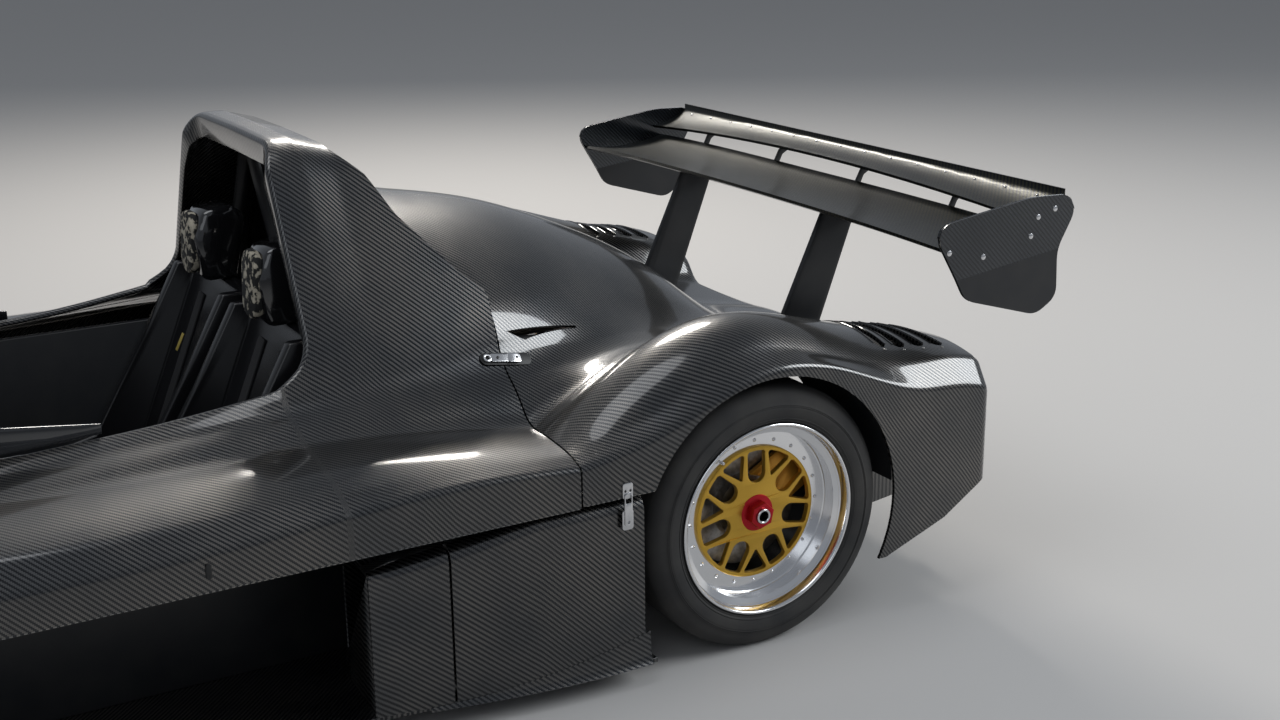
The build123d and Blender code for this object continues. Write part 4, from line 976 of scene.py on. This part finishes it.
for end, (y, tyre_r), tyre_w, face_x, lip_r, centre_x in WHEELS:
    for side, label in SIDES:
        body = f"wheel_{end}_{label}"
        reach = lip_r - CENTRE_INSET
        axle = Vector((0, y, tyre_r)) * MM

        def on_axle(part, profile, material, steps=LATHE_STEPS, aside=0.0):
            """A part turned about the axle, or about a line aside of it, in its finish."""
            middle = (y + aside * cos(VALVE_TURN), tyre_r + aside * sin(VALVE_TURN))
            return finish(lathe(f"{part}_{body}", profile, *middle, side, steps), material, body)

        def bulged(co, rise=7.0):
            """A point of the flat centre, stood up on the wheel and bulged towards the hub."""
            out = centre_x + 4 + rise * max(0.0, 1 - hypot(co.x, co.y) / MM / reach)
            return axle + Vector((side * (out * MM + co.z), co.x, co.y))

        tyre = on_axle("tyre", tyre_profile(face_x, tyre_w, tyre_r, lip_r - 4), rubber)
        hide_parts(f"tyre_{end}_{label}")
        lip = on_axle("lip", lip_profile(face_x, tyre_w, lip_r, centre_x), polished)
        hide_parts(f"rim_{end}_{label}")
        finish(plate(f"centre_{body}", fork_loops(reach), 15, 2.2, bulged), gold, body)
        rivet_ring = circle(y, tyre_r, reach + RIVET_RING, RIVETS)
        places = [(side * (centre_x + 3), a, b) for a, b in rivet_ring]
        rivets = repeated(f"rivets_{body}", places, lathe("rivet", RIVET_HEAD, 0, 0, side, 10), bright)
        finish(rivets, bright, body)

        for part, profile, material, steps in HUB_PARTS:
            made = on_axle(part, [(centre_x + x, r) for x, r in profile], material, steps)
            if part == "disc":
                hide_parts(f"hub_{end}_{label}")
        nut_face = axle + Vector((side * (centre_x + NUT_OUT) * MM, 0, 0))
        finish(plate(f"nut_{body}", *NUT, sideways(nut_face, side)), red, body)
        stem = [(centre_x + x, r) for x, r in VALVE]
        on_axle("valve", stem, bright, 10, reach + VALVE_RING)

# Body details: louvre edges over the rear wheels, arch liners, and the screws that hold the panels.
# The louvres are slots through the moulding, each with a folded bright edge and a screw at both ends.
def tube(name, points, radius):
    """A round bar through points in millimetres."""
    return curve_mesh(name, "3D", [points], bevel_depth=radius * MM, bevel_resolution=2, use_fill_caps=True)


def found_below(surface, x, y):
    """The place and the normal of a surface straight below a point in millimetres."""
    return surface.ray_cast(Vector((x * MM, y * MM, 2.0)), Vector((0, 0, -1)))[:2]


def height_on(surface, x, y):
    return found_below(surface, x, y)[0].z / MM


def joined(name, pieces):
    """Pieces of one finish as one object."""
    work = bmesh.new()
    for piece in pieces:
        work.from_mesh(piece.data)
        bpy.data.objects.remove(piece)
    return as_object(name, work, 40)


def screw_head(name, radius, up=True):
    """A domed screw head at the origin, facing up or to the car's left."""
    profile = [(-2, 0.01), (0.4, radius), (1.2, radius - 0.3), (2.2, radius * 0.6), (2.6, 0.01)]
    head = lathe(name, profile, 0, 0, 1, 12)
    return moved_mesh(head, lambda co: Vector((co.y, co.z, co.x))) if up else head


gloss_black = new_material("gloss_black", (0.008, 0.008, 0.009), 0.12, coat=1.0)
tail_surface, cockpit_surface = surface_of(tail_shell), surface_of(cockpit_shell)
EDGE_HALF = LOUVRE_LONG / 2 - 12
EDGE_OFF = LOUVRE_WIDE / 2 + 2
SCREW_OFF = LOUVRE_LONG / 2 + 10
edges, screws = [], []
for side in (1, -1):
    for y in louvre_ys:
        for edge_y in (y - EDGE_OFF, y + EDGE_OFF):
            xs = [side * x for x in np.linspace(LOUVRE_X - EDGE_HALF, LOUVRE_X + EDGE_HALF, 25)]
            folded = [(x, edge_y, height_on(tail_surface, x, edge_y)) for x in xs]
            edges.append(tube("louvre_edge", folded, 2.2))
        for x in (side * (LOUVRE_X - SCREW_OFF), side * (LOUVRE_X + SCREW_OFF)):
            screws.append((x, y, height_on(tail_surface, x, y)))
finish(joined("louvre_edges", edges), gloss_black, "rear_clam")
tail_screws = repeated("tail_screws", screws, screw_head("screw", 4.0), disc_steel)
finish(tail_screws, disc_steel, "rear_clam")

SATIN_TONES = (14.0, 4.0, [(0.35, (0.005, 0.006, 0.008)), (0.7, (0.012, 0.012, 0.013))])
SATIN_GRAIN = (420.0, 2.0, 0.2 * MM, 0.25)
satin = new_material("satin_carbon", (0.008, 0.009, 0.011), 0.42, tones=SATIN_TONES, grain=SATIN_GRAIN)

LINER_R = 337
LINER_THICK = 3
LINER_X = (600, 862)
turns = [radians(4 + 3 * k) for k in range(27)]
for side, label in SIDES:
    liner = bmesh.new()
    for radius in (LINER_R, LINER_R + LINER_THICK):
        arcs = []
        for x in LINER_X:
            arc = [(side * x, REAR_AXLE[0] + radius * cos(t), REAR_AXLE[1] + radius * sin(t)) for t in turns]
            arcs.append([liner.verts.new(Vector(p) * MM) for p in arc])
        for k in range(len(turns) - 1):
            liner.faces.new((arcs[0][k], arcs[0][k + 1], arcs[1][k + 1], arcs[1][k]))
    bmesh.ops.bridge_loops(liner, edges=[e for e in liner.edges if e.is_boundary])
    bmesh.ops.recalc_face_normals(liner, faces=liner.faces)
    finish(as_object(f"arch_liner_{label}", liner, 40), satin, "rear_clam")

# Latches: a bright over-centre lever in a black rounded recess on each side of the deck's seam,
# and a plate with a bail and a lever on each flank, screwed through the skin.
def pill(a, b, long, wide, corner):
    """An outline of a rounded rectangle, its long side along the first axis."""
    outline = []
    for sx, sy, start in ((1, 1, 0), (-1, 1, 90), (-1, -1, 180), (1, -1, 270)):
        for k in range(7):
            turn = radians(start + 15 * k)
            first = a + sx * (long / 2 - corner) + corner * cos(turn)
            outline.append((first, b + sy * (wide / 2 - corner) + corner * sin(turn)))
    return outline


def laid_plate(name, place, along, up, loops, thick, bevel, lift):
    """A flat plate laid on a slope: its first axis runs along, and its thickness points up."""
    aside = up.cross(along).normalized()
    raised = (lift + thick / 2) * MM

    def laid(co):
        return place + along * co.x + aside * co.y + up * (co.z + raised)

    return plate(name, loops, thick, bevel, laid)


def across(vector, normal):
    """The direction of a vector, laid flat on a surface with this normal."""
    return (vector - normal * vector.dot(normal)).normalized()


# Each plate is its outline and holes, thickness, bevel and lift.
DECK_RECESS = ([pill(6, 0, 122, 30, 14)], 3.0, 0.6, 0)
DECK_LEVER = [([pill(4, 0, 72, 20, 4)], 4.5, 1.2, 3.4), ([pill(22, 0, 28, 23, 5)], 4.0, 1.0, 5.8)]
DECK_LEVER += [([pill(-40, 0, 19, 19, 8), circle(-40, 0, 5, 16)], 5, 1.0, 3)]
DECK_SCREWS = [([circle(x, 0, 3.2, 16)], 2, 0.6, 8.0) for x in (-16, 30)]
DUCT_FLOOR = ([pill(0, 0, 250, 90, 8)], 2, 0.4, -24)
SIDE_PLATES = [([pill(34, 0, 34, 24, 5), circle(34, -6, 2.6, 14), circle(34, 6, 2.6, 14)], 3, 0.7, 0)]
SIDE_PLATES += [([pill(-18, 0, 52, 18, 6), circle(-34, 0, 3, 14)], 4, 1.0, 2)]
SIDE_PLATES += [([pill(-30, 0, 44, 26, 6)], 2, 0.5, 0)]
SIDE_BAIL = [(-8, -10), (-8, 24), (-5, 28), (5, 28), (8, 24), (8, -10)]
LATCH_X = 530
FLANK_PLACE = (885.5, 832, 420)
black = new_material("black_plastic", (0.006, 0.006, 0.006), 0.5)
for side, label in SIDES:
    ahead = found_below(cockpit_surface, side * LATCH_X, 700)[0]
    behind, normal = found_below(tail_surface, side * LATCH_X, 760)
    along = (behind - ahead).normalized()
    seam = ((ahead + behind) / 2, along, across(normal, along))
    finish(laid_plate(f"latch_recess_{label}", *seam, *DECK_RECESS), black, "rear_clam")
    lever = [laid_plate("lever", *seam, *part) for part in DECK_LEVER]
    heads = [laid_plate("head", *seam, *part) for part in DECK_SCREWS]
    deck_latch = finish(joined(f"deck_latch_{label}", lever), bright, "rear_clam")
    finish(joined(f"latch_screws_{label}", heads), black, "rear_clam")

    mouth, mouth_up = found_below(tail_surface, side * 505, 860)
    mouth_flow = across(Vector((-side * 0.2, 1, -0.2)), mouth_up)
    duct_floor = laid_plate(f"duct_floor_{label}", mouth, mouth_flow, mouth_up, *DUCT_FLOOR)
    finish(duct_floor, black, "rear_clam")

    x, y, z = FLANK_PLACE
    flank = (Vector((side * x, y, z)) * MM, Vector((0, 0, 1)), Vector((side, 0, 0)))
    parts = [laid_plate("side_plate", *flank, *part) for part in SIDE_PLATES]
    parts.append(tube("side_bail", [(side * 890, y + dy, z + dz) for dy, dz in SIDE_BAIL], 1.6))
    finish(joined(f"side_latch_{label}", parts), bright, "rear_clam")
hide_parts("latches")

# Rear wing: two carbon planes between end plates, on two blade posts.
# The plates are bolted on, small brackets hold the slot open, and a row of screws holds the flap's tab.
def softened(points, trim, count=5):
    """An outline with each corner rounded off over the trim on both sides."""
    outline = []
    for i, corner in enumerate(points):
        corner = np.array(corner, float)
        before, after = (np.array(points[(i + s) % len(points)], float) - corner for s in (-1, 1))
        start = corner + before * trim / np.linalg.norm(before)
        end = corner + after * trim / np.linalg.norm(after)
        for k in range(count + 1):
            t = k / count
            outline.append(tuple((1 - t) ** 2 * start + 2 * t * (1 - t) * corner + t * t * end))
    return outline


WING_HALF = 840
PLATE_THICK = 8
PLATE_OUTLINE = [(1658, 866), (1672, 898), (1931, 933), (2049, 929), (2070, 890)]
PLATE_OUTLINE += [(2019, 802), (2025, 688), (1963, 652), (1746, 716), (1719, 766)]
PLATE_SPLIT = [(1719, 766), (2019, 802)]
PLATE_BOLTS = [(1692, 833), (1793, 812), (1935, 843), (1955, 886), (2006, 900)]
# The lighter tows of the wing and the end plates are painted sheen, as on the body.
wing_carbon = carbon("wing_carbon", "xy", painted_sheen=(0.034, 0.032, 0.018), gloss=0.2, coat=0.3)
plate_carbon = carbon("plate_carbon", "yz", painted_sheen=(0.030, 0.033, 0.037), gloss=0.15)
split_from, split_to = (Vector((0, y, z)) * MM for y, z in PLATE_SPLIT)
split_flow = (split_to - split_from).normalized()
split_up = Vector((0, -split_flow.z, split_flow.y))
plate_loop = softened(PLATE_OUTLINE, 26)
for side, label in SIDES:
    stood = sideways(Vector((side * (WING_HALF + 0.2 + PLATE_THICK / 2) * MM, 0, 0)), side)
    for part, sign, material in (("upper", 1, plate_carbon), ("lower", -1, satin)):
        end_plate = plate(f"end_plate_{part}_{label}", [plate_loop], PLATE_THICK, 1.0, stood)
        with reworked(end_plate.data) as work:
            everything = list(work.verts) + list(work.edges) + list(work.faces)
            cut = {"plane_co": split_from + split_up * sign * 0.2 * MM, "plane_no": split_up * -sign}
            bmesh.ops.bisect_plane(work, geom=everything, clear_outer=True, **cut)
            bmesh.ops.holes_fill(work, edges=[e for e in work.edges if e.is_boundary], sides=0)
            bmesh.ops.recalc_face_normals(work, faces=work.faces)
        smooth(end_plate, 30)
        finish(end_plate, material, "rear_clam")
    ring = [(side * (WING_HALF + PLATE_THICK - 0.5), y, z) for y, z in PLATE_BOLTS]
    head = moved_mesh(screw_head("bolt", 7, up=False), lambda co: Vector((side * co.x, co.y, co.z)))
    bolts = repeated(f"plate_bolts_{label}", ring, head, bright)
    finish(bolts, bright, "rear_clam")
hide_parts("wing_end_plates")

BRACKET = [(1888, 853), (1928, 862), (1948, 900), (1990, 912), (1984, 899), (1958, 884)]
BRACKET += [(1942, 850), (1900, 842)]
for k, x in enumerate((-560, -187, 187, 560)):
    lower_by = 14 * (x / WING_HALF) ** 2
    outline = softened([(y, z - lower_by) for y, z in BRACKET], 4, 3)
    stood = sideways(Vector((x * MM, 0, 0)), 1)
    finish(plate(f"slot_bracket_{k + 1}", [outline], 5, 0.8, stood), satin, "rear_clam")

# Side pods: bowed carbon skins behind the side intakes, each a hood in front and a longer panel behind.
# They turn in over the top edge, a narrow gap parts them, and a flared sill closes their foot.
POD_FRONT_Y = 291
POD_SEAM = (450, 455)
POD_END_Y = 878
POD_FOOT_Z = 57
POD_TOP = [(294, 640), (366, 428)]
POD_SHOULDER_R = [(294, 340, 450), (14, 26, 34)]
SILL_START_Y = 400
SILL_END_Y = 890


def bent(a, b, c, count):
    """Points on a quadratic curve from a to c, drawn towards b."""
    a, b, c = (np.array(p, float) for p in (a, b, c))
    return [(1 - s) ** 2 * a + 2 * s * (1 - s) * b + s * s * c for s in np.linspace(0, 1, count)]


pod_plan = np.vstack([[(817, 291)], bent((844.5, 454), (885, 690), (874, 880), 40)])


def pod_section(y):
    """The skin's section at y: a flat top, a round shoulder and the side, down to the floor."""
    x = float(np.interp(y, pod_plan[:, 1], pod_plan[:, 0]))
    top = float(np.interp(y, *POD_TOP)) + 2
    radius = float(np.interp(y, *POD_SHOULDER_R))
    turns = [radians(90 - 10 * k) for k in range(10)]
    shoulder = [(x - radius + radius * cos(a), top - radius + radius * sin(a)) for a in turns]
    return [(x - radius - 30, top), *shoulder, (x, 240), (x, POD_FOOT_Z)]


def sill_section(y):
    """The sill's section at y: it leaves the skin, sweeps outwards and ends over the floor's edge."""
    x = float(np.interp(y, pod_plan[:, 1], pod_plan[:, 0]))
    part = (y - SILL_START_Y) / (SILL_END_Y - SILL_START_Y)
    return bent((x + 1, 58 + 62 * part**1.6), (x + 3, 56), (x + 4 + 12 * part, 49), 9)


def side_skins(name, ys, section, thick):
    """A skin on both sides of the car through sections given as (x, z) points."""
    rows, cloth = [], []
    for y in ys:
        points = np.array(section(y), float)
        rows.append([(0, y, points[0][1])] + [(x, y, z) for x, z in points])
        cloth.append([(0, y)] + [(float(u) + 900, y) for u in reach_along(points)])
    made = panel(name, rows, cloth, lambda r, column: column >= 1)
    walled(made, thick * MM)
    return finish(made, body_carbon, "chassis")


side_skins("pod_hoods", steps_between(POD_FRONT_Y, POD_SEAM[0]), pod_section, 5)
side_skins("pod_panels", steps_between(POD_SEAM[1], POD_END_Y), pod_section, 5)
side_skins("pod_sills", steps_between(SILL_START_Y, SILL_END_Y), sill_section, 3)

# Trimmed edges: thin round bars along the cut lower edges of the carbon mouldings.
# Their light cloth colour is a painted highlight, a thin bright line along each edge.
# The light tows of this cloth paint a highlight along the edges.
highlight_edge_carbon = carbon("highlight_edge_carbon", "yz", painted_sheen=(0.30, 0.28, 0.25))
TRIMMED = [
    # name, body, points along the edge (y, z)
    ("skirt_edges", "chassis", [(-612, 436), (722, 436)]),
    ("clam_edges", "rear_clam", [(736, 439), (898, 439)]),
    ("clam_tail_edges", "rear_clam", [(1512, 151), (1680, 213), (1783, 279)]),
]
for name, body, points in TRIMMED:
    sides = [tube(name, [(side * 883.5, y, z) for y, z in points], 1.7) for side in (1, -1)]
    finish(joined(name, sides), highlight_edge_carbon, body)

# Plain fitted pieces: floor, tub, suspension, wing planes and the like keep their CAD shapes.
# Each is welded, its sharp edges are broken as on real parts, and it gets its own finish.
carbon_flat = carbon("flat_carbon", "xy", gloss=0.10)
carbon_upright = carbon("upright_carbon", "yz", gloss=0.10)
carbon_facing = carbon("facing_carbon", "xz", gloss=0.10)
COATED_GRAIN = (700.0, 2.0, 0.1 * MM, 0.2)
coated = new_material("powder_coat", (0.014, 0.014, 0.015), 0.45, grain=COATED_GRAIN)
CAST_TONES = (30.0, 5.0, [(0.3, (0.20, 0.20, 0.205)), (0.7, (0.36, 0.36, 0.37))])
CAST_GRAIN = (500.0, 3.0, 0.3 * MM, 0.4)
cast = new_material("cast_alloy", (0.30, 0.30, 0.31), 0.55, 0.9, tones=CAST_TONES, grain=CAST_GRAIN)
HEAT_TINTS = (4.0, 3.0, [(0.3, (0.46, 0.41, 0.33)), (0.55, (0.35, 0.30, 0.30)), (0.75, (0.30, 0.32, 0.38))])
pipe_steel = new_material("exhaust_steel", (0.42, 0.38, 0.33), 0.28, 1.0, tones=HEAT_TINTS)
caliper_gold = new_material("caliper_gold", (0.62, 0.30, 0.04), 0.38, 0.6)
suede = new_material("black_suede", (0.018, 0.018, 0.019), 0.95, grain=(900.0, 4.0, 0.3 * MM, 0.5))
red_lens = new_material("red_lens", (0.45, 0.01, 0.012), 0.08, coat=1.0)
clear_lens = new_material("clear_lens", (0.85, 0.88, 0.92), 0.04)
clear_lens.node_tree.nodes["Principled BSDF"].inputs["Transmission Weight"].default_value = 0.9
tinted = new_material("smoked_screen", (0.012, 0.013, 0.015), 0.06, coat=1.0)
seat_black = new_material("seat_shell_black", (0.006, 0.006, 0.007), 0.24)
webbing = new_material("black_webbing", (0.016, 0.016, 0.017), 0.8, grain=(1200.0, 2.0, 0.4 * MM, 0.6))


def broken_edges(node, material, edge, angle=32.0):
    """A copy of a CAD node, welded, with its sharp edges rounded off over a small width."""
    piece = add_object(f"{node}_finished", frame["nodes"][node].data.copy())
    with reworked(piece.data) as work:
        bmesh.ops.remove_doubles(work, verts=work.verts, dist=0.02 * MM)
        bmesh.ops.dissolve_limit(work, angle_limit=radians(0.6), verts=work.verts, edges=work.edges)
        bmesh.ops.recalc_face_normals(work, faces=work.faces)
    if edge:
        bevel = piece.modifiers.new("edges", "BEVEL")
        bevel.width = edge * MM
        bevel.segments = 2
        bevel.limit_method = "ANGLE"
        bevel.angle_limit = radians(angle)
        applied(piece)
    smooth(piece, angle)
    finish(piece, material, BODY[node])
    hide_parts(node)
    return piece


PLAIN_PIECES = [
    # node, finish, edge radius in millimetres
    ("floor_pan", carbon_flat, 1.0),
    ("front_splitter", carbon_flat, 1.0),
    ("diffuser", carbon_flat, 0.8),
    ("side_pods", carbon_upright, 5.0),
    ("chassis_tub", satin, 2.5),
    ("back_panel", carbon_facing, 0),
    ("engine_block", cast, 3.0),
    ("gearbox", cast, 2.0),
    ("tail_frame", coated, 0.6),
    ("exhaust", pipe_steel, 1.0),
    ("roll_hoop", coated, 0),
    ("dashboard", satin, 3.0),
    ("steering_column", coated, 0.8),
    ("front_wishbones", coated, 0.8),
    ("rear_wishbones", coated, 0.8),
    ("upright_rear_left", caliper_gold, 1.2),
    ("upright_rear_right", caliper_gold, 1.2),
    ("upright_front_left", caliper_gold, 1.2),
    ("upright_front_right", caliper_gold, 1.2),
    ("steering_rack", bright, 0.6),
    ("steering_wheel", suede, 2.0),
    ("wing_main", wing_carbon, 0),
    ("wing_flap", wing_carbon, 0),
    ("wing_posts", satin, 1.5),
    ("mirrors", gloss_black, 2.0),
    ("wind_deflector", tinted, 0.8),
    ("tail_lamps", red_lens, 1.0),
    ("headlamp_lenses", clear_lens, 0),
    ("seats", seat_black, 6.0),
    ("harness", webbing, 1.0),
    ("headrests", gloss_black, 16.0),
]
made_pieces = {node: broken_edges(node, material, edge) for node, material, edge in PLAIN_PIECES}
SKIN_INSIDE_X = 0.803
BULKHEAD_CORNER_Z = 1.06


def behind_skins(co):
    """The pods' own walls drawn in under the bowed skins."""
    inward = 30 * MM if abs(co.x) > SKIN_INSIDE_X + 3 * MM else 0
    return Vector((np.sign(co.x) * max(abs(co.x) - inward, min(abs(co.x), SKIN_INSIDE_X)), co.y, co.z))


def under_the_arch(co):
    """The bulkhead's top corners drawn in behind the arch's sloping rear edge."""
    lower = 29 * MM if co.z > BULKHEAD_CORNER_Z else 0
    return Vector((co.x + np.sign(co.x) * 0.55 * lower, co.y, co.z - lower))


moved_mesh(made_pieces["side_pods"], behind_skins)
moved_mesh(made_pieces["back_panel"], under_the_arch)

# Headrests, belt tag and flank catches: a black moulded shell over each seat, faced with a soft pad
# in mottled cloth, a yellow tag sewn to one belt, and a small black catch screwed to each flank.
HEADREST_X = 0.241
HEADREST_FOOT_Z = 0.740
UPRIGHT, FORWARD = Vector((0, 0.06, 1)).normalized(), Vector((0, -1, 0.06)).normalized()
BELT_RUN, BELT_OUT = Vector((0, 0.45, 0.89)).normalized(), Vector((0, -0.89, 0.45))
TAG = ([pill(0, 0, 44, 16, 2)], 1.2, 0.3, 2)
PAD = ([pill(0, 0, 150, 96, 40)], 24, 10, -9)
CATCH = ([pill(0, 0, 30, 11, 5)], 3, 0.8, 0)


def slimmed(co):
    """Headrest shells narrower towards the top, leaning back a little."""
    side, rise = np.sign(co.x), co.z - HEADREST_FOOT_Z
    wide = (abs(co.x) - HEADREST_X) * (0.80 - 0.9 * max(0.0, rise))
    return Vector((side * (HEADREST_X + wide), co.y + 0.07 * rise, HEADREST_FOOT_Z + 0.92 * rise))


moved_mesh(made_pieces["headrests"], slimmed)
MOTTLE = (62.0, 3.0, [(0.5, (0.012, 0.012, 0.012)), (0.55, (0.42, 0.38, 0.30)), (0.7, (0.55, 0.50, 0.40))])
CLOTH_GRAIN = (800.0, 2.0, 0.4 * MM, 0.5)
mottled = new_material("mottled_cloth", (0.4, 0.37, 0.30), 0.85, tones=MOTTLE, grain=CLOTH_GRAIN)
tag_yellow = new_material("tag_yellow", (0.36, 0.27, 0.05), 0.6)
tag = laid_plate("belt_tag", Vector((-0.185, 0.225, 0.60)), BELT_RUN, BELT_OUT, *TAG)
finish(tag, tag_yellow, "chassis")
for side, label in SIDES:
    pad_place = Vector((side * HEADREST_X, 0.286, 0.826))
    pad = laid_plate(f"headrest_pad_{label}", pad_place, UPRIGHT, FORWARD, *PAD)
    finish(pad, mottled, "chassis")
    flank = (Vector((side * 0.8852, -0.03, 0.477)), Vector((0, 0, 1)), Vector((side, 0, 0)))
    finish(laid_plate(f"side_catch_{label}", *flank, *CATCH), black, "chassis")

# Mirror glasses, lamp bowls and flap screws: silvered plates glued into the mirrors and behind the
# lamp covers, and a row of steel screws along the wing flap.
GLASS = ([pill(0, 0, 134, 66, 20)], 1.4, 0.3, 0)
BOWL = [(-52, 0.01), (-50, 20), (-40, 38), (-18, 54), (-12, 56), (-14, 52), (-38, 34), (-47, 18), (-49, 0.01)]
silver = new_material("mirror_silver", (0.86, 0.87, 0.88), 0.03, 1.0)
for side, label in SIDES:
    mirror = (Vector((side * 0.640, -0.4198, 0.700)), Vector((1, 0, 0)), Vector((0, 1, 0)))
    finish(laid_plate(f"mirror_glass_{label}", *mirror, *GLASS), silver, "chassis")
    lamp = Vector((side * LAMP_PLACE[0] * MM, LAMP_PLACE[1] * MM, 0.455))
    bowl = lathe(f"lamp_bowl_{label}", BOWL, 0, 0, 1, 40)
    moved_mesh(bowl, lambda co: lamp + Vector((co.y, co.z * 1.25, co.x - co.z * 0.25)))
    finish(bowl, silver, "chassis")

FLAP_SCREW_Y = 2022
flap_surface = surface_of(made_pieces["wing_flap"])
flap_row = [(x, FLAP_SCREW_Y, height_on(flap_surface, x, FLAP_SCREW_Y)) for x in range(-770, 771, 110)]
flap_screws = repeated("flap_screws", flap_row, screw_head("screw", 4), bright)
finish(flap_screws, bright, "rear_clam")
